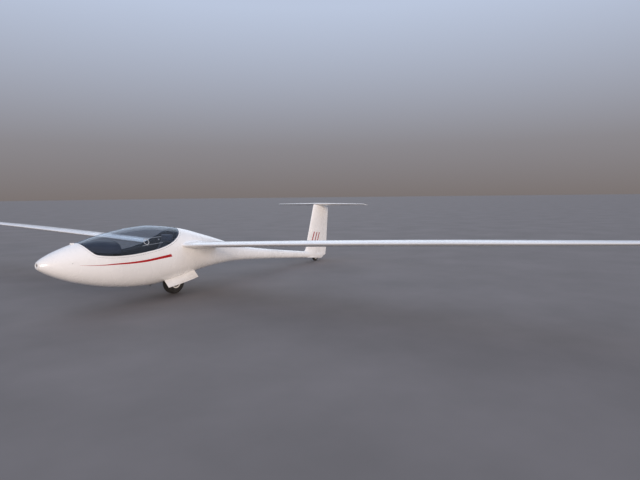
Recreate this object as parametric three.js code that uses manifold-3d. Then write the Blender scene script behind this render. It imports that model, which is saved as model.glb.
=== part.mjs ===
// A single-seat sailplane of 15 m span, standing level on its main wheel and tail wheel with the gear down.
// Millimetres: +X towards the nose, +Y to port, +Z up. The origin is on the ground under the main tyre.
// Fuselage, wings and tail are laid out along the level boom; their group pitches nose-up on the gear.
import * as THREE from 'three';
import { mergeVertices } from 'three/addons/utils/BufferGeometryUtils.js';
import Module from 'manifold-3d';

const wasm = await Module();
wasm.setup();

// Clearances
const SEAT_GAP = 0.3;
const MOVING_GAP = 5;
const BEYOND = 400;

// Stance on the ground
const STANCE = THREE.MathUtils.degToRad(6.8);
const TAIL_WHEEL_X = -4147;

// Fuselage sections along the boom axis, from nose to tail
const SECTIONS = [
  { x: 2115, top: 452, bottom: 422, waist: 437, half: 15 },
  { x: 2090, top: 482, bottom: 393, waist: 437, half: 45 },
  { x: 2030, top: 527, bottom: 357, waist: 440, half: 85 },
  { x: 1900, top: 600, bottom: 300, waist: 447, half: 140 },
  { x: 1657, top: 703, bottom: 228, waist: 462, half: 208 },
  { x: 1400, top: 799, bottom: 180, waist: 490, half: 256 },
  { x: 1160, top: 876, bottom: 152, waist: 515, half: 285 },
  { x: 855, top: 952, bottom: 138, waist: 540, half: 306 },
  { x: 520, top: 1000, bottom: 148, waist: 560, half: 315 },
  { x: 250, top: 1004, bottom: 190, waist: 575, half: 308 },
  { x: -15, top: 990, bottom: 250, waist: 590, half: 288 },
  { x: -480, top: 925, bottom: 365, waist: 612, half: 222 },
  { x: -957, top: 846, bottom: 450, waist: 623, half: 160 },
  { x: -1300, top: 785, bottom: 492, waist: 623, half: 130 },
  { x: -1790, top: 735, bottom: 517, waist: 623, half: 106 },
  { x: -2400, top: 716, bottom: 534, waist: 623, half: 90 },
  { x: -3100, top: 701, bottom: 545, waist: 623, half: 77 },
  { x: -3700, top: 693, bottom: 553, waist: 623, half: 68 },
  { x: -3950, top: 690, bottom: 556, waist: 623, half: 64 },
  { x: -4100, top: 688, bottom: 550, waist: 621, half: 60 },
  { x: -4290, top: 688, bottom: 540, waist: 618, half: 44 },
  { x: -4392, top: 690, bottom: 578, waist: 634, half: 26 },
];
const ROUNDNESS = 2.15;
const RING_POINTS = 24;
const NOSE_FACE_X = 2088;
const NOSE_AXIS_Z = 437;
const NOSE_HOLE_RADIUS = 16;
const NOSE_RING_PROFILE = [
  [16, 2088], [44, 2088], [41, 2093], [34, 2097], [23, 2098], [18, 2096], [16, 2093],
];
const POD_END_X = -1250;
const BOOM_END_X = -3950;
const TAIL_CONE_END_X = -4376;
const SHELL = 14;
const POD_STATIONS = [
  2060, 2010, 1940, 1840, 1740, 1657, 1540, 1400, 1250, 1080, 880, 690, 520, 360, 210, 60,
  -110, -290, -480, -720, -957,
];
const BOOM_STATIONS = [-1500, -1790, -2100, -2700, -3350];
const TAIL_STATIONS = [-4030, -4100, -4200, -4290, -4345];

// Cockpit space and wheel well, as outlines in the side view
const CAVITY = { front: 1990, rear: -60 };
const CAVITY_OUTLINE = [
  [1990, 0], [420, 0], [420, 265], [300, 370], [100, 520], [-25, 640], [-50, 750], [-50, 1300], [1990, 1300],
];
const WELL = { front: 335, rear: -255, half: 150, roof: 420 };
const WELL_OUTLINE = [
  [WELL.front, 0], [WELL.front, 262], [125, 400], [50, WELL.roof], [-200, WELL.roof],
  [WELL.rear, 380], [WELL.rear, 0],
];

// Edge of the canopy in the side view, from the front apex down round the sill to the rear top
const CANOPY_EDGE = [
  [1669, 719], [1657, 703], [1634, 672], [1578, 607], [1515, 562], [1451, 549], [1255, 546], [1041, 565],
  [808, 606], [553, 667], [360, 741], [226, 822], [134, 901], [86, 958], [32, 1030],
];
const EDGE_STEPS = 28;
const CANOPY = { front: 1800, rear: -45, frameBand: 22, frameDepth: 18, glass: 5, rimBand: 26, rimDepth: 38 };
const VENT_WINDOW = [[853, 710], [853, 798], [525, 846], [525, 768]];
const CANOPY_PIN = {
  x: 1666, z: 706, radius: 3, knuckle: 6.5, knuckleHalf: 8, earEnd: 14, baseFront: 1700, baseDrop: 26,
};

// Cockpit fittings: seat pan and shield over the instruments, each as stations along the fuselage
const PAN_LINE = [
  [1010, 318], [900, 262], [780, 228], [640, 205], [520, 215], [425, 285], [335, 415], [245, 560], [185, 690],
  [150, 800],
];
const PAN = { thick: 17, half: 260, backHalf: 190, backFrom: 430, backTo: 560 };
const HOOD_SECTIONS = [
  { x: 1150, top: 758, half: 236, base: 600 },
  { x: 1270, top: 760, half: 208, base: 598 },
  { x: 1400, top: 748, half: 168, base: 600 },
  { x: 1500, top: 724, half: 122, base: 618 },
  { x: 1560, top: 702, half: 84, base: 640 },
];
const HOOD = { thick: 5, points: 13, roundness: 2.5 };
const PANEL = { thick: 12, foot: [[-190, 560], [-120, 520], [-90, 450], [90, 450], [120, 520], [190, 560]] };
const COLUMN = { rear: 1150, front: 1340, half: 72, top: 640 };
const PEDALS = { x: 1440, z: 320, rod: 7, plate: [88, 150], below: 10, above: 140, thick: 16 };
const STICK = { foot: [815, 200], bend: [790, 330], hand: [745, 505], radius: 9, grip: 15, gripFrom: 0.4 };
const STICK_BOOT = { low: 180, high: 262, lowRadius: 46, highRadius: 20 };
const LEVER = { z: 500, front: 860, rear: 560, y: 252, radius: 7, handle: 15, bracket: 16 };
const HEADREST = { wall: -50, rear: 172, front: 248, half: 112, bottom: 768, top: 892, postY: 60, post: 9 };
const SEAT_CUSHION = { front: 738, rear: 470, half: 168, thick: 30 };
const BACK_CUSHION = { front: 392, rear: 205, half: 172, thick: 40 };

// Wing, port side: leading edge, chord and thickness along the span
const WING_ROOT_Y = 345;
const WING_BREAK_Y = 4300;
const WING_TIP_Y = 7400;
const WING_LEAD = { rootX: 157, rootZ: 734.5, breakX: 134.5, tipX: 73, tipZ: 1043 };
const WING_RISE = { slope: 0.0532, droop: 1.6e-6 };
const WING_CHORD = { root: 800, break: 570, tip: 280 };
const WING_STATIONS = [WING_ROOT_Y, 1300, 2250, 3550, WING_BREAK_Y, 5300, 6350, 7250, WING_TIP_Y];
const WING_TIP_CAP = [
  { y: 7455, back: 12, chord: 0.9, thin: 0.72 },
  { y: 7490, back: 40, chord: 0.68, thin: 0.36 },
];
const WING_THICKNESS = { root: 0.112, break: 0.13, tip: 0.118 };
const WING_INCIDENCE = THREE.MathUtils.degToRad(0.7);
const WING_CAMBER = 0.028;
const WING_EDGE = 2.4;
const STUB = { y: 235, lead: 22, trail: 40, thicker: 1.22 };

// Section shape that wings, fin and tailplane share: where its half thickness peaks, and points per side
const AEROFOIL = { nose: 0.55, tail: 1.15, points: 9 };

// Ailerons and airbrakes, port side
const AILERON = { from: 4350, to: 7240, hingeAt: 0.78, ribs: [0.12, 0.5, 0.88] };
const AIRBRAKE = {
  from: 2320, to: 3500, at: 0.52, cap: 5, capHalf: 15, depth: 56, slotHalf: 11.5,
  bladeIn: 2.5, bladeOut: 6.5,
};

// Fin and rudder, sections up from the tail cone
const FIN_SECTIONS = [
  { z: 560, lead: -3700, trail: -4566, thick: 98 },
  { z: 697, lead: -3676, trail: -4566, thick: 98 },
  { z: 760, lead: -3702, trail: -4580, thick: 96 },
  { z: 945, lead: -3743, trail: -4580, thick: 90 },
  { z: 1330, lead: -3838, trail: -4580, thick: 79 },
  { z: 1715, lead: -3932, trail: -4580, thick: 68 },
  { z: 1745, lead: -3942, trail: -4566, thick: 62 },
];
const RUDDER = {
  from: [-4387, 583], to: [-4458, 1741], radiusFrom: 22, radiusTo: 14.3, ribs: [0.12, 0.5, 0.9],
};
const TAIL_CHAMFER = { front: [-4290, 538], rear: [-4535, 632] };

// Tailplane and elevator, half of each, sections out from the centre
const TAILPLANE_Z = 1769;
const TAILPLANE_SECTIONS = [
  { y: 0, lead: -4020, trail: -4500, thick: 46 },
  { y: 380, lead: -4061, trail: -4462, thick: 39 },
  { y: 1062, lead: -4135, trail: -4394, thick: 25 },
  { y: 1106, lead: -4152, trail: -4388, thick: 18 },
  { y: 1120, lead: -4190, trail: -4378, thick: 8 },
];
const ELEVATOR = {
  hingeX: -4345, notch: 48, end: 1092, radiusFrom: 15.2, radiusTo: 5.3, tube: 8, ribs: [0.25, 0.75],
};

// Wheels, in the ground frame: tyre profiles give radius and half width
const MAIN_WHEEL = {
  radius: 175, axle: 12.5, legY: 85, legRadius: 11, eyeRadius: 20, segments: 40, rimSegments: 24,
};
const MAIN_TYRE_PROFILE = [[79, 36], [94, 52], [114, 62], [141, 63], [160, 58], [171, 48], [175, 40]];
const MAIN_RIM_PROFILE = [[13, 50], [28, 50], [28, 14], [70, 14], [70, 58], [92, 58], [92, 54], [78, 54]];
const TAIL_WHEEL = { radius: 100, axle: 8, wellHalf: 31, wellClear: 9, segments: 28, rimSegments: 18 };
const TAIL_TYRE_PROFILE = [[52, 17], [62, 24], [82, 25], [95, 21], [100, 15]];
const TAIL_RIM_PROFILE = [[8.5, 24], [18, 24], [18, 8], [46, 8], [46, 26], [57, 26], [57, 24.5], [50.8, 20]];
const FORK_TOP = { x: -140, z: WELL.roof - MAIN_WHEEL.legRadius - SEAT_GAP };

// Tow release under the belly
const TOW_RELEASE = { x: 470, plate: 32, half: 16, below: 8, hook: 26 };

// Gear doors: a leaf inside the well's edge, then the panel leaning outwards
const DOOR = { thick: 8, leaf: 26, width: 128, lean: THREE.MathUtils.degToRad(44), inset: 6 };

// Colours and finishes
function finish(color, roughness, metalness = 0) {
  return new THREE.MeshStandardMaterial({ color, roughness, metalness });
}
const GELCOAT = finish(0xf0efec, 0.25);
const GLAZING = finish(0x50606a, 0.05);
GLAZING.transparent = true;
GLAZING.opacity = 0.4;
const NAVY = finish(0x1b2433, 0.7);
const INTERIOR = finish(0x4a4e57, 0.6);
const CUSHION = finish(0x26303e, 0.9);
const RUBBER = finish(0x141414, 0.85);
const ALLOY = finish(0xb9bcbd, 0.4, 0.8);
const STEEL = finish(0x6f7376, 0.45, 0.9);
const BLACK = finish(0x17181a, 0.6);
const BLUE = finish(0x1e4fa0, 0.4);

// Closed solids from three.js geometry
function signedVolume(geometry) {
  const p = geometry.attributes.position;
  const index = geometry.index.array;
  const [a, b, c] = [new THREE.Vector3(), new THREE.Vector3(), new THREE.Vector3()];
  let sum = 0;
  for (let i = 0; i < index.length; i += 3) {
    a.fromBufferAttribute(p, index[i]);
    b.fromBufferAttribute(p, index[i + 1]);
    c.fromBufferAttribute(p, index[i + 2]);
    sum += a.dot(b.cross(c));
  }
  return sum / 6;
}

function facingOut(geometry) {
  if (signedVolume(geometry) > 0) return geometry;
  const index = geometry.index.array;
  for (let i = 0; i < index.length; i += 3) {
    [index[i], index[i + 1]] = [index[i + 1], index[i]];
  }
  return geometry;
}

function solid(geometry) {
  for (const name of ['normal', 'uv']) geometry.deleteAttribute(name);
  const merged = facingOut(mergeVertices(geometry, 1e-3));
  const vertProperties = new Float32Array(merged.attributes.position.array);
  const triVerts = new Uint32Array(merged.index.array);
  return new wasm.Manifold(new wasm.Mesh({ numProp: 3, vertProperties, triVerts }));
}

function geometryOf(body) {
  const mesh = body.getMesh();
  const geometry = new THREE.BufferGeometry();
  geometry.setAttribute('position', new THREE.BufferAttribute(mesh.vertProperties, 3));
  geometry.setIndex(new THREE.BufferAttribute(mesh.triVerts, 1));
  return geometry;
}

function mirrored(body) {
  return solid(geometryOf(body).scale(1, -1, 1));
}

function placed(body, matrix) {
  return solid(geometryOf(body).applyMatrix4(matrix));
}

function union(first, ...rest) {
  return rest.reduce((sum, body) => sum.add(body), first);
}

function bothSides(body) {
  return union(body, mirrored(body));
}

// A skin over flat rings with equal point counts, its two ends closed by triangulated caps
function loft(rings) {
  const count = rings[0].length;
  const index = [];
  for (let r = 0; r + 1 < rings.length; r += 1) {
    for (let i = 0; i < count; i += 1) {
      const [a, b] = [r * count + i, r * count + ((i + 1) % count)];
      index.push(a, b, b + count, a, b + count, a + count);
    }
  }
  for (const r of [0, rings.length - 1]) {
    const outline = flattened(rings[r]);
    const alongOutline = (r > 0) !== THREE.ShapeUtils.isClockWise(outline);
    for (const face of THREE.ShapeUtils.triangulateShape(outline, [])) {
      const corners = face.map((corner) => corner + r * count);
      index.push(...(alongOutline ? corners : corners.reverse()));
    }
  }
  const geometry = new THREE.BufferGeometry().setFromPoints(rings.flat());
  geometry.setIndex(index);
  return solid(geometry);
}

// A ring that lies across one axis, as a flat outline without that axis
function flattened(ring) {
  const size = new THREE.Box3().setFromPoints(ring).getSize(new THREE.Vector3()).toArray();
  const [u, v] = [0, 1, 2].filter((axis) => axis !== size.indexOf(Math.min(...size)));
  return ring.map((p) => new THREE.Vector2(p.getComponent(u), p.getComponent(v)));
}

// An outline in the side view (across y), the plan (across z) or the front view (across x)
function prism(outline, across, low, high) {
  const shape = new THREE.Shape(outline.map(([a, b]) => new THREE.Vector2(a, b)));
  const geometry = new THREE.ExtrudeGeometry(shape, { depth: high - low, bevelEnabled: false, steps: 1 });
  const names = ['x', 'y', 'z'];
  const axis = (name) => new THREE.Vector3().setComponent(names.indexOf(name), 1);
  const [u, v] = names.filter((name) => name !== across).map(axis);
  const matrix = new THREE.Matrix4().makeBasis(u, v, axis(across));
  matrix.setPosition(axis(across).multiplyScalar(low));
  return solid(geometry.applyMatrix4(matrix));
}

function block([x0, x1], [y0, y1], [z0, z1]) {
  const geometry = new THREE.BoxGeometry(x1 - x0, y1 - y0, z1 - z0);
  return solid(geometry.translate((x0 + x1) / 2, (y0 + y1) / 2, (z0 + z1) / 2));
}

function rod(start, end, startRadius, endRadius = startRadius, sides = 10) {
  const from = new THREE.Vector3(...start);
  const axis = new THREE.Vector3(...end).sub(from);
  const geometry = new THREE.CylinderGeometry(endRadius, startRadius, axis.length(), sides);
  const turn = new THREE.Quaternion();
  turn.setFromUnitVectors(new THREE.Vector3(0, 1, 0), axis.clone().normalize());
  const middle = from.addScaledVector(axis, 0.5);
  return solid(geometry.applyQuaternion(turn).translate(middle.x, middle.y, middle.z));
}

// A wheel part about the Y axis, its profile given on one side and mirrored; a flat facet faces down
function wheelRing(profile, segments) {
  const grow = 1 / Math.cos(Math.PI / segments);
  const side = profile.map(([radius, half]) => new THREE.Vector2(radius * grow, half));
  const other = side.map((p) => new THREE.Vector2(p.x, -p.y)).reverse();
  const outline = [...side, ...other, side[0].clone()];
  return solid(new THREE.LatheGeometry(outline, segments, Math.PI / segments));
}

const lerp = THREE.MathUtils.lerp;

// Monotone cubic through one column of a table that runs down in x
function smoothColumn(rows, column, x) {
  const last = rows.length - 1;
  let k = rows.findIndex((row, i) => i < last && x >= rows[i + 1].x);
  if (k < 0) k = last - 1;
  const step = (i) => rows[i + 1].x - rows[i].x;
  const slope = (i) => (rows[i + 1][column] - rows[i][column]) / step(i);
  const tangent = (i) => {
    if (i === 0) return slope(0);
    if (i === last) return slope(last - 1);
    const [before, after] = [slope(i - 1), slope(i)];
    if (before * after <= 0) return 0;
    const [w1, w2] = [2 * step(i) + step(i - 1), step(i) + 2 * step(i - 1)];
    return (w1 + w2) / (w1 / before + w2 / after);
  };
  const h = step(k);
  const t = (x - rows[k].x) / h;
  return rows[k][column] * (1 + 2 * t) * (1 - t) ** 2 + tangent(k) * h * t * (1 - t) ** 2
    + rows[k + 1][column] * t * t * (3 - 2 * t) + tangent(k + 1) * h * t * t * (t - 1);
}

// A direction on the superellipse that squares off a circle
function squaredOff(angle, roundness) {
  const reach = (value) => Math.sign(value) * Math.abs(value) ** (2 / roundness);
  return [reach(Math.cos(angle)), reach(Math.sin(angle))];
}

function fuselageSection(x) {
  const section = {};
  for (const column of ['top', 'bottom', 'waist', 'half']) {
    section[column] = smoothColumn(SECTIONS, column, x);
  }
  return section;
}

// Fuselage skin: one ring of a section, drawn in by an inset
function fuselageRing(x, inset = 0) {
  const { top, bottom, waist, half } = fuselageSection(x);
  return Array.from({ length: RING_POINTS }, (_, i) => {
    const [sideways, upwards] = squaredOff((2 * Math.PI * i) / RING_POINTS, ROUNDNESS);
    const height = upwards > 0 ? top - inset - waist : waist - bottom - inset;
    return new THREE.Vector3(x, (half - inset) * sideways, waist + height * upwards);
  });
}

function hull(from, to, stations, inset = 0) {
  const inner = stations.filter((x) => x < from && x > to);
  return loft([from, ...inner, to].map((x) => fuselageRing(x, inset)));
}

// Height of the belly skin at a distance from the centreline
function bellyAt(x, y) {
  const { bottom, waist, half } = fuselageSection(x);
  return waist - (waist - bottom) * (1 - (y / half) ** ROUNDNESS) ** (1 / ROUNDNESS);
}

// Region of the side view above the canopy edge, the edge moved inwards by an offset
function canopyRegion(offset) {
  const points = CANOPY_EDGE.map(([x, z]) => new THREE.Vector3(x, z, 0));
  const curve = new THREE.CatmullRomCurve3(points, false, 'centripetal');
  const edge = Array.from({ length: EDGE_STEPS + 1 }, (_, i) => {
    const point = curve.getPointAt(i / EDGE_STEPS);
    const along = curve.getTangentAt(i / EDGE_STEPS);
    return [point.x + along.y * offset, point.y - along.x * offset];
  });
  const roof = 1000 + BEYOND;
  const outline = [...edge, [edge.at(-1)[0], roof], [edge[0][0], roof]];
  return prism(outline, 'y', -BEYOND, BEYOND);
}

// Half thickness and camber of the shared section, as shares of thickness and chord
function aerofoilHalf(s) {
  const shape = (q) => q ** AEROFOIL.nose * (1 - q) ** AEROFOIL.tail;
  return shape(s) / shape(AEROFOIL.nose / (AEROFOIL.nose + AEROFOIL.tail)) / 2;
}

// A ring round one aerofoil; thickness runs up, or sideways for a fin
function aerofoilRing({ lead, chord, thick, incidence = 0, camber = 0, edge = 2, upright = false }) {
  const n = AEROFOIL.points;
  const stations = Array.from({ length: n }, (_, i) => (1 - Math.cos((Math.PI * i) / (n - 1))) / 2);
  const at = (s, side) => {
    const off = side * (thick * aerofoilHalf(s) + (edge / 2) * s);
    const along = lead[0] - chord * s * Math.cos(incidence);
    const rise = chord * (4 * camber * s * (1 - s) - s * Math.sin(incidence));
    return upright
      ? new THREE.Vector3(along, off, lead[2])
      : new THREE.Vector3(along, lead[1], lead[2] + rise + off);
  };
  const upper = stations.map((s) => at(s, 1)).reverse();
  const lower = stations.slice(1).map((s) => at(s, -1));
  return [...upper, ...lower];
}

function wingSection(y) {
  const outer = (y - WING_BREAK_Y) / (WING_TIP_Y - WING_BREAK_Y);
  const inner = (y - WING_ROOT_Y) / (WING_BREAK_Y - WING_ROOT_Y);
  const rise = (d) => WING_LEAD.rootZ + WING_RISE.slope * d - WING_RISE.droop * d * d;
  const breakZ = rise(WING_BREAK_Y - WING_ROOT_Y);
  const blend = (root, middle, tip) => (outer > 0 ? lerp(middle, tip, outer) : lerp(root, middle, inner));
  const chord = blend(WING_CHORD.root, WING_CHORD.break, WING_CHORD.tip);
  const x = blend(WING_LEAD.rootX, WING_LEAD.breakX, WING_LEAD.tipX);
  const z = outer > 0 ? lerp(breakZ, WING_LEAD.tipZ, outer) : rise(y - WING_ROOT_Y);
  return {
    lead: [x, y, z],
    chord,
    thick: chord * blend(WING_THICKNESS.root, WING_THICKNESS.break, WING_THICKNESS.tip),
    incidence: WING_INCIDENCE,
    camber: WING_CAMBER,
    edge: WING_EDGE,
  };
}

function wingHalfDepth(y, s) {
  return wingSection(y).thick * aerofoilHalf(s) + (WING_EDGE / 2) * s;
}

// A point of the wing at a share of the chord: on the mean line, or on the upper skin
function wingPoint(y, s, onSkin = false) {
  const section = wingSection(y);
  const rise = section.chord * (4 * WING_CAMBER * s * (1 - s) - s * Math.sin(WING_INCIDENCE));
  const skin = onSkin ? wingHalfDepth(y, s) : 0;
  const x = section.lead[0] - section.chord * s * Math.cos(WING_INCIDENCE);
  return [x, y, section.lead[2] + rise + skin];
}

// Cuts a moving surface out of a whole one: round nose on the hinge line, a cove round it, and hinge ribs
function splitAtHinge(whole, { start, end, startRadius, endRadius, upright, ribs }) {
  const along = new THREE.Vector3(...end).sub(new THREE.Vector3(...start)).normalize();
  const nose = (grow) => {
    const from = along.clone().multiplyScalar(-grow).add(new THREE.Vector3(...start));
    const to = along.clone().multiplyScalar(grow).add(new THREE.Vector3(...end));
    return rod(from.toArray(), to.toArray(), startRadius + grow, endRadius + grow, 24);
  };
  const span = upright ? 2 : 1;
  const aft = (grow) => {
    const line = [[start, -grow], [end, grow]].map(([p, shift]) => (
      [p[0] + along.x * shift + grow, p[span] + along.getComponent(span) * shift]
    ));
    const outline = [...line, ...line.map(([x, across]) => [x - BEYOND, across]).reverse()];
    return upright ? prism(outline, 'y', -BEYOND, BEYOND) : prism(outline, 'z', 0, 5 * BEYOND);
  };
  const moving = union(whole.intersect(aft(0)), nose(0));
  let fixed = whole.subtract(aft(MOVING_GAP)).subtract(nose(MOVING_GAP));
  for (const share of ribs) {
    const centre = start.map((value, i) => lerp(value, end[i], share));
    const radius = lerp(startRadius, endRadius, share);
    const size = [[centre[0], centre[0] + radius + 3 * MOVING_GAP], [0, 0], [0, 0]];
    size[span] = [centre[span] - 5, centre[span] + 5];
    size[3 - span] = [centre[3 - span] - 0.4 * radius, centre[3 - span] + 0.4 * radius];
    fixed = fixed.add(block(...size).subtract(nose(SEAT_GAP)));
  }
  return { moving, fixed };
}

const airframe = new THREE.Group();
const wheels = new THREE.Group();
airframe.rotation.y = -STANCE;

function add(group, name, body, material) {
  const mesh = new THREE.Mesh(geometryOf(body), material);
  mesh.name = name;
  group.add(mesh);
}

// Fuselage pod: skin with wing stubs, the cockpit space, the wheel well and a rim under the canopy
function makePod() {
  const root = wingSection(WING_ROOT_Y);
  const swell = {
    ...root,
    chord: root.chord + STUB.lead + STUB.trail,
    thick: root.thick * STUB.thicker,
    lead: [root.lead[0] + STUB.lead, STUB.y, root.lead[2]],
  };
  const port = [aerofoilRing(swell), aerofoilRing(root)];
  const starboard = port.map((ring) => ring.map((p) => new THREE.Vector3(p.x, -p.y, p.z))).reverse();
  const outer = hull(NOSE_FACE_X - SEAT_GAP, POD_END_X, POD_STATIONS);
  const inside = (depth) => hull(CAVITY.front, CAVITY.rear, POD_STATIONS, depth);
  const cavity = inside(SHELL).intersect(prism(CAVITY_OUTLINE, 'y', -BEYOND, BEYOND));
  const well = prism(WELL_OUTLINE, 'y', -WELL.half, WELL.half);
  const opening = canopyRegion(-MOVING_GAP);
  const rim = hull(CANOPY.front, CANOPY.rear, POD_STATIONS).subtract(inside(CANOPY.rimDepth))
    .intersect(canopyRegion(-MOVING_GAP - CANOPY.rimBand));
  const pocketHalf = CANOPY_PIN.earEnd + SEAT_GAP;
  const hingePocket = block(
    [CANOPY_PIN.x - 16, CANOPY_PIN.baseFront + SEAT_GAP],
    [-pocketHalf, pocketHalf],
    [CANOPY_PIN.z - CANOPY_PIN.baseDrop - SEAT_GAP, CANOPY_PIN.z + 100],
  );
  const ductEnds = [NOSE_FACE_X + 5, CAVITY.front - 30].map((x) => [x, 0, NOSE_AXIS_Z]);
  const duct = rod(...ductEnds, NOSE_HOLE_RADIUS);
  return union(outer, loft([...starboard, ...port])).subtract(cavity).add(rim)
    .subtract(opening).subtract(well).subtract(hingePocket).subtract(duct);
}

// Canopy: frame band round the edge, glazing inside it, a sliding window in the port side
function makeCanopy() {
  const outer = hull(CANOPY.front, CANOPY.rear, POD_STATIONS);
  const layer = (depth) => outer.subtract(hull(CANOPY.front + 50, CANOPY.rear - 15, POD_STATIONS, depth));
  const band = canopyRegion(0).subtract(canopyRegion(CANOPY.frameBand));
  const pane = canopyRegion(CANOPY.frameBand + SEAT_GAP);
  const windowHole = (grow) => {
    const { x, y } = new THREE.Box2().setFromPoints(VENT_WINDOW.map((p) => new THREE.Vector2(...p)))
      .getCenter(new THREE.Vector2());
    const outline = VENT_WINDOW.map(([u, v]) => [u + Math.sign(u - x) * grow, v + Math.sign(v - y) * grow]);
    return prism(outline, 'y', 0, BEYOND);
  };
  const { x, z, knuckle, knuckleHalf, radius } = CANOPY_PIN;
  const arm = block([x - 28, x], [-knuckleHalf, knuckleHalf], [z - 16, z - 2]);
  const barrel = rod([x, -knuckleHalf, z], [x, knuckleHalf, z], knuckle);
  const pinHole = rod([x, -20, z], [x, 20, z], radius + SEAT_GAP);
  return {
    frame: union(layer(CANOPY.frameDepth).intersect(band), arm, barrel).subtract(pinHole),
    glass: layer(CANOPY.glass).intersect(pane).subtract(windowHole(SEAT_GAP)),
    window: layer(CANOPY.glass).intersect(pane).intersect(windowHole(0)),
  };
}

// Bracket in the pod's nose that holds the canopy's pin
function makeCanopyHinge() {
  const { x, z, radius, knuckleHalf, earEnd, baseFront, baseDrop } = CANOPY_PIN;
  const ear = block([x - 5, baseFront], [knuckleHalf + 0.4, earEnd], [z - 20, z + 4]);
  const base = block([x + 8, baseFront], [-earEnd, earEnd], [z - baseDrop, z - 14]);
  return union(bothSides(ear), base, rod([x, -earEnd, z], [x, earEnd, z], radius));
}

function makeWing() {
  const rings = WING_STATIONS.map((y) => aerofoilRing(wingSection(y === WING_ROOT_Y ? y + SEAT_GAP : y)));
  const tip = wingSection(WING_TIP_Y);
  for (const cap of WING_TIP_CAP) {
    const slope = (cap.y - WING_TIP_Y) * WING_RISE.slope * 0.7;
    rings.push(aerofoilRing({
      ...tip,
      lead: [tip.lead[0] - cap.back, cap.y, tip.lead[2] + slope],
      chord: tip.chord * cap.chord,
      thick: tip.thick * cap.thin,
    }));
  }
  return loft(rings);
}

// Airbrake: a slot along the upper skin, a flush cap with its blade, and a second blade that it draws up
function makeAirbrake(wing) {
  const from = new THREE.Vector3(...wingPoint(AIRBRAKE.from, AIRBRAKE.at, true));
  const to = new THREE.Vector3(...wingPoint(AIRBRAKE.to, AIRBRAKE.at, true));
  const length = from.distanceTo(to);
  const along = to.clone().sub(from).normalize();
  const back = new THREE.Vector3(1, 0, 0).cross(along).cross(along).normalize();
  const up = along.clone().cross(back);
  if (up.z < 0) up.negate();
  const side = up.clone().cross(along);
  const matrix = new THREE.Matrix4().makeBasis(along, side.negate(), up).setPosition(from);
  const local = (a, b, c) => placed(block(a, b, c), matrix);
  const { cap, capHalf, depth, slotHalf, bladeIn, bladeOut } = AIRBRAKE;
  const recess = local(
    [-MOVING_GAP, length + MOVING_GAP],
    [-capHalf - MOVING_GAP, capHalf + MOVING_GAP],
    [-cap - SEAT_GAP, 30],
  );
  const slot = local([0, length], [-slotHalf, slotHalf], [-depth, 0]);
  const lid = wing.intersect(local([0, length], [-capHalf, capHalf], [-cap, 30]));
  const bladeEnds = [MOVING_GAP, length - MOVING_GAP];
  const upper = local(bladeEnds, [bladeIn, bladeOut], [SEAT_GAP - depth, -cap]);
  const lower = local(bladeEnds, [-bladeOut, -bladeIn], [SEAT_GAP - depth, -cap - 3]);
  return { cut: recess.add(slot), upper: lid.add(upper), lower, up };
}

// Fin and rudder on the tail cone, which also houses the tail wheel
function makeFin() {
  const rings = FIN_SECTIONS.map(({ z, lead, trail, thick }) => (
    aerofoilRing({ lead: [lead, 0, z], chord: lead - trail, thick, edge: 4, upright: true })
  ));
  const { from, to, radiusFrom, radiusTo, ribs } = RUDDER;
  const { front, rear } = TAIL_CHAMFER;
  const lowest = front[1] - 100;
  const behind = [rear[0] - 165, rear[1] + 60];
  const below = prism(
    [[front[0], lowest], front, rear, behind, [behind[0], lowest]],
    'y', -BEYOND, BEYOND,
  );
  const cone = hull(BOOM_END_X - SEAT_GAP, TAIL_CONE_END_X, TAIL_STATIONS);
  const { moving, fixed } = splitAtHinge(union(loft(rings), cone).subtract(below), {
    start: [from[0], 0, from[1]],
    end: [to[0], 0, to[1]],
    startRadius: radiusFrom,
    endRadius: radiusTo,
    upright: true,
    ribs,
  });
  const boomRoom = hull(BOOM_END_X + 450, BOOM_END_X - SEAT_GAP, BOOM_STATIONS, -SEAT_GAP);
  const [x, z] = tailWheelCentre();
  const reach = TAIL_WHEEL.radius + TAIL_WHEEL.wellClear;
  const half = TAIL_WHEEL.wellHalf;
  const well = union(
    rod([x, -half, z], [x, half, z], reach, reach, 24),
    block([x - reach, x + reach], [-half, half], [lowest, z]),
  );
  return { rudder: moving.subtract(below), fin: fixed.subtract(boomRoom).subtract(well) };
}

// The tail wheel's centre, given in the ground frame, in the side view of the airframe
function tailWheelCentre() {
  const [c, s] = [Math.cos(STANCE), Math.sin(STANCE)];
  return [TAIL_WHEEL_X * c + TAIL_WHEEL.radius * s, TAIL_WHEEL.radius * c - TAIL_WHEEL_X * s];
}

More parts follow.
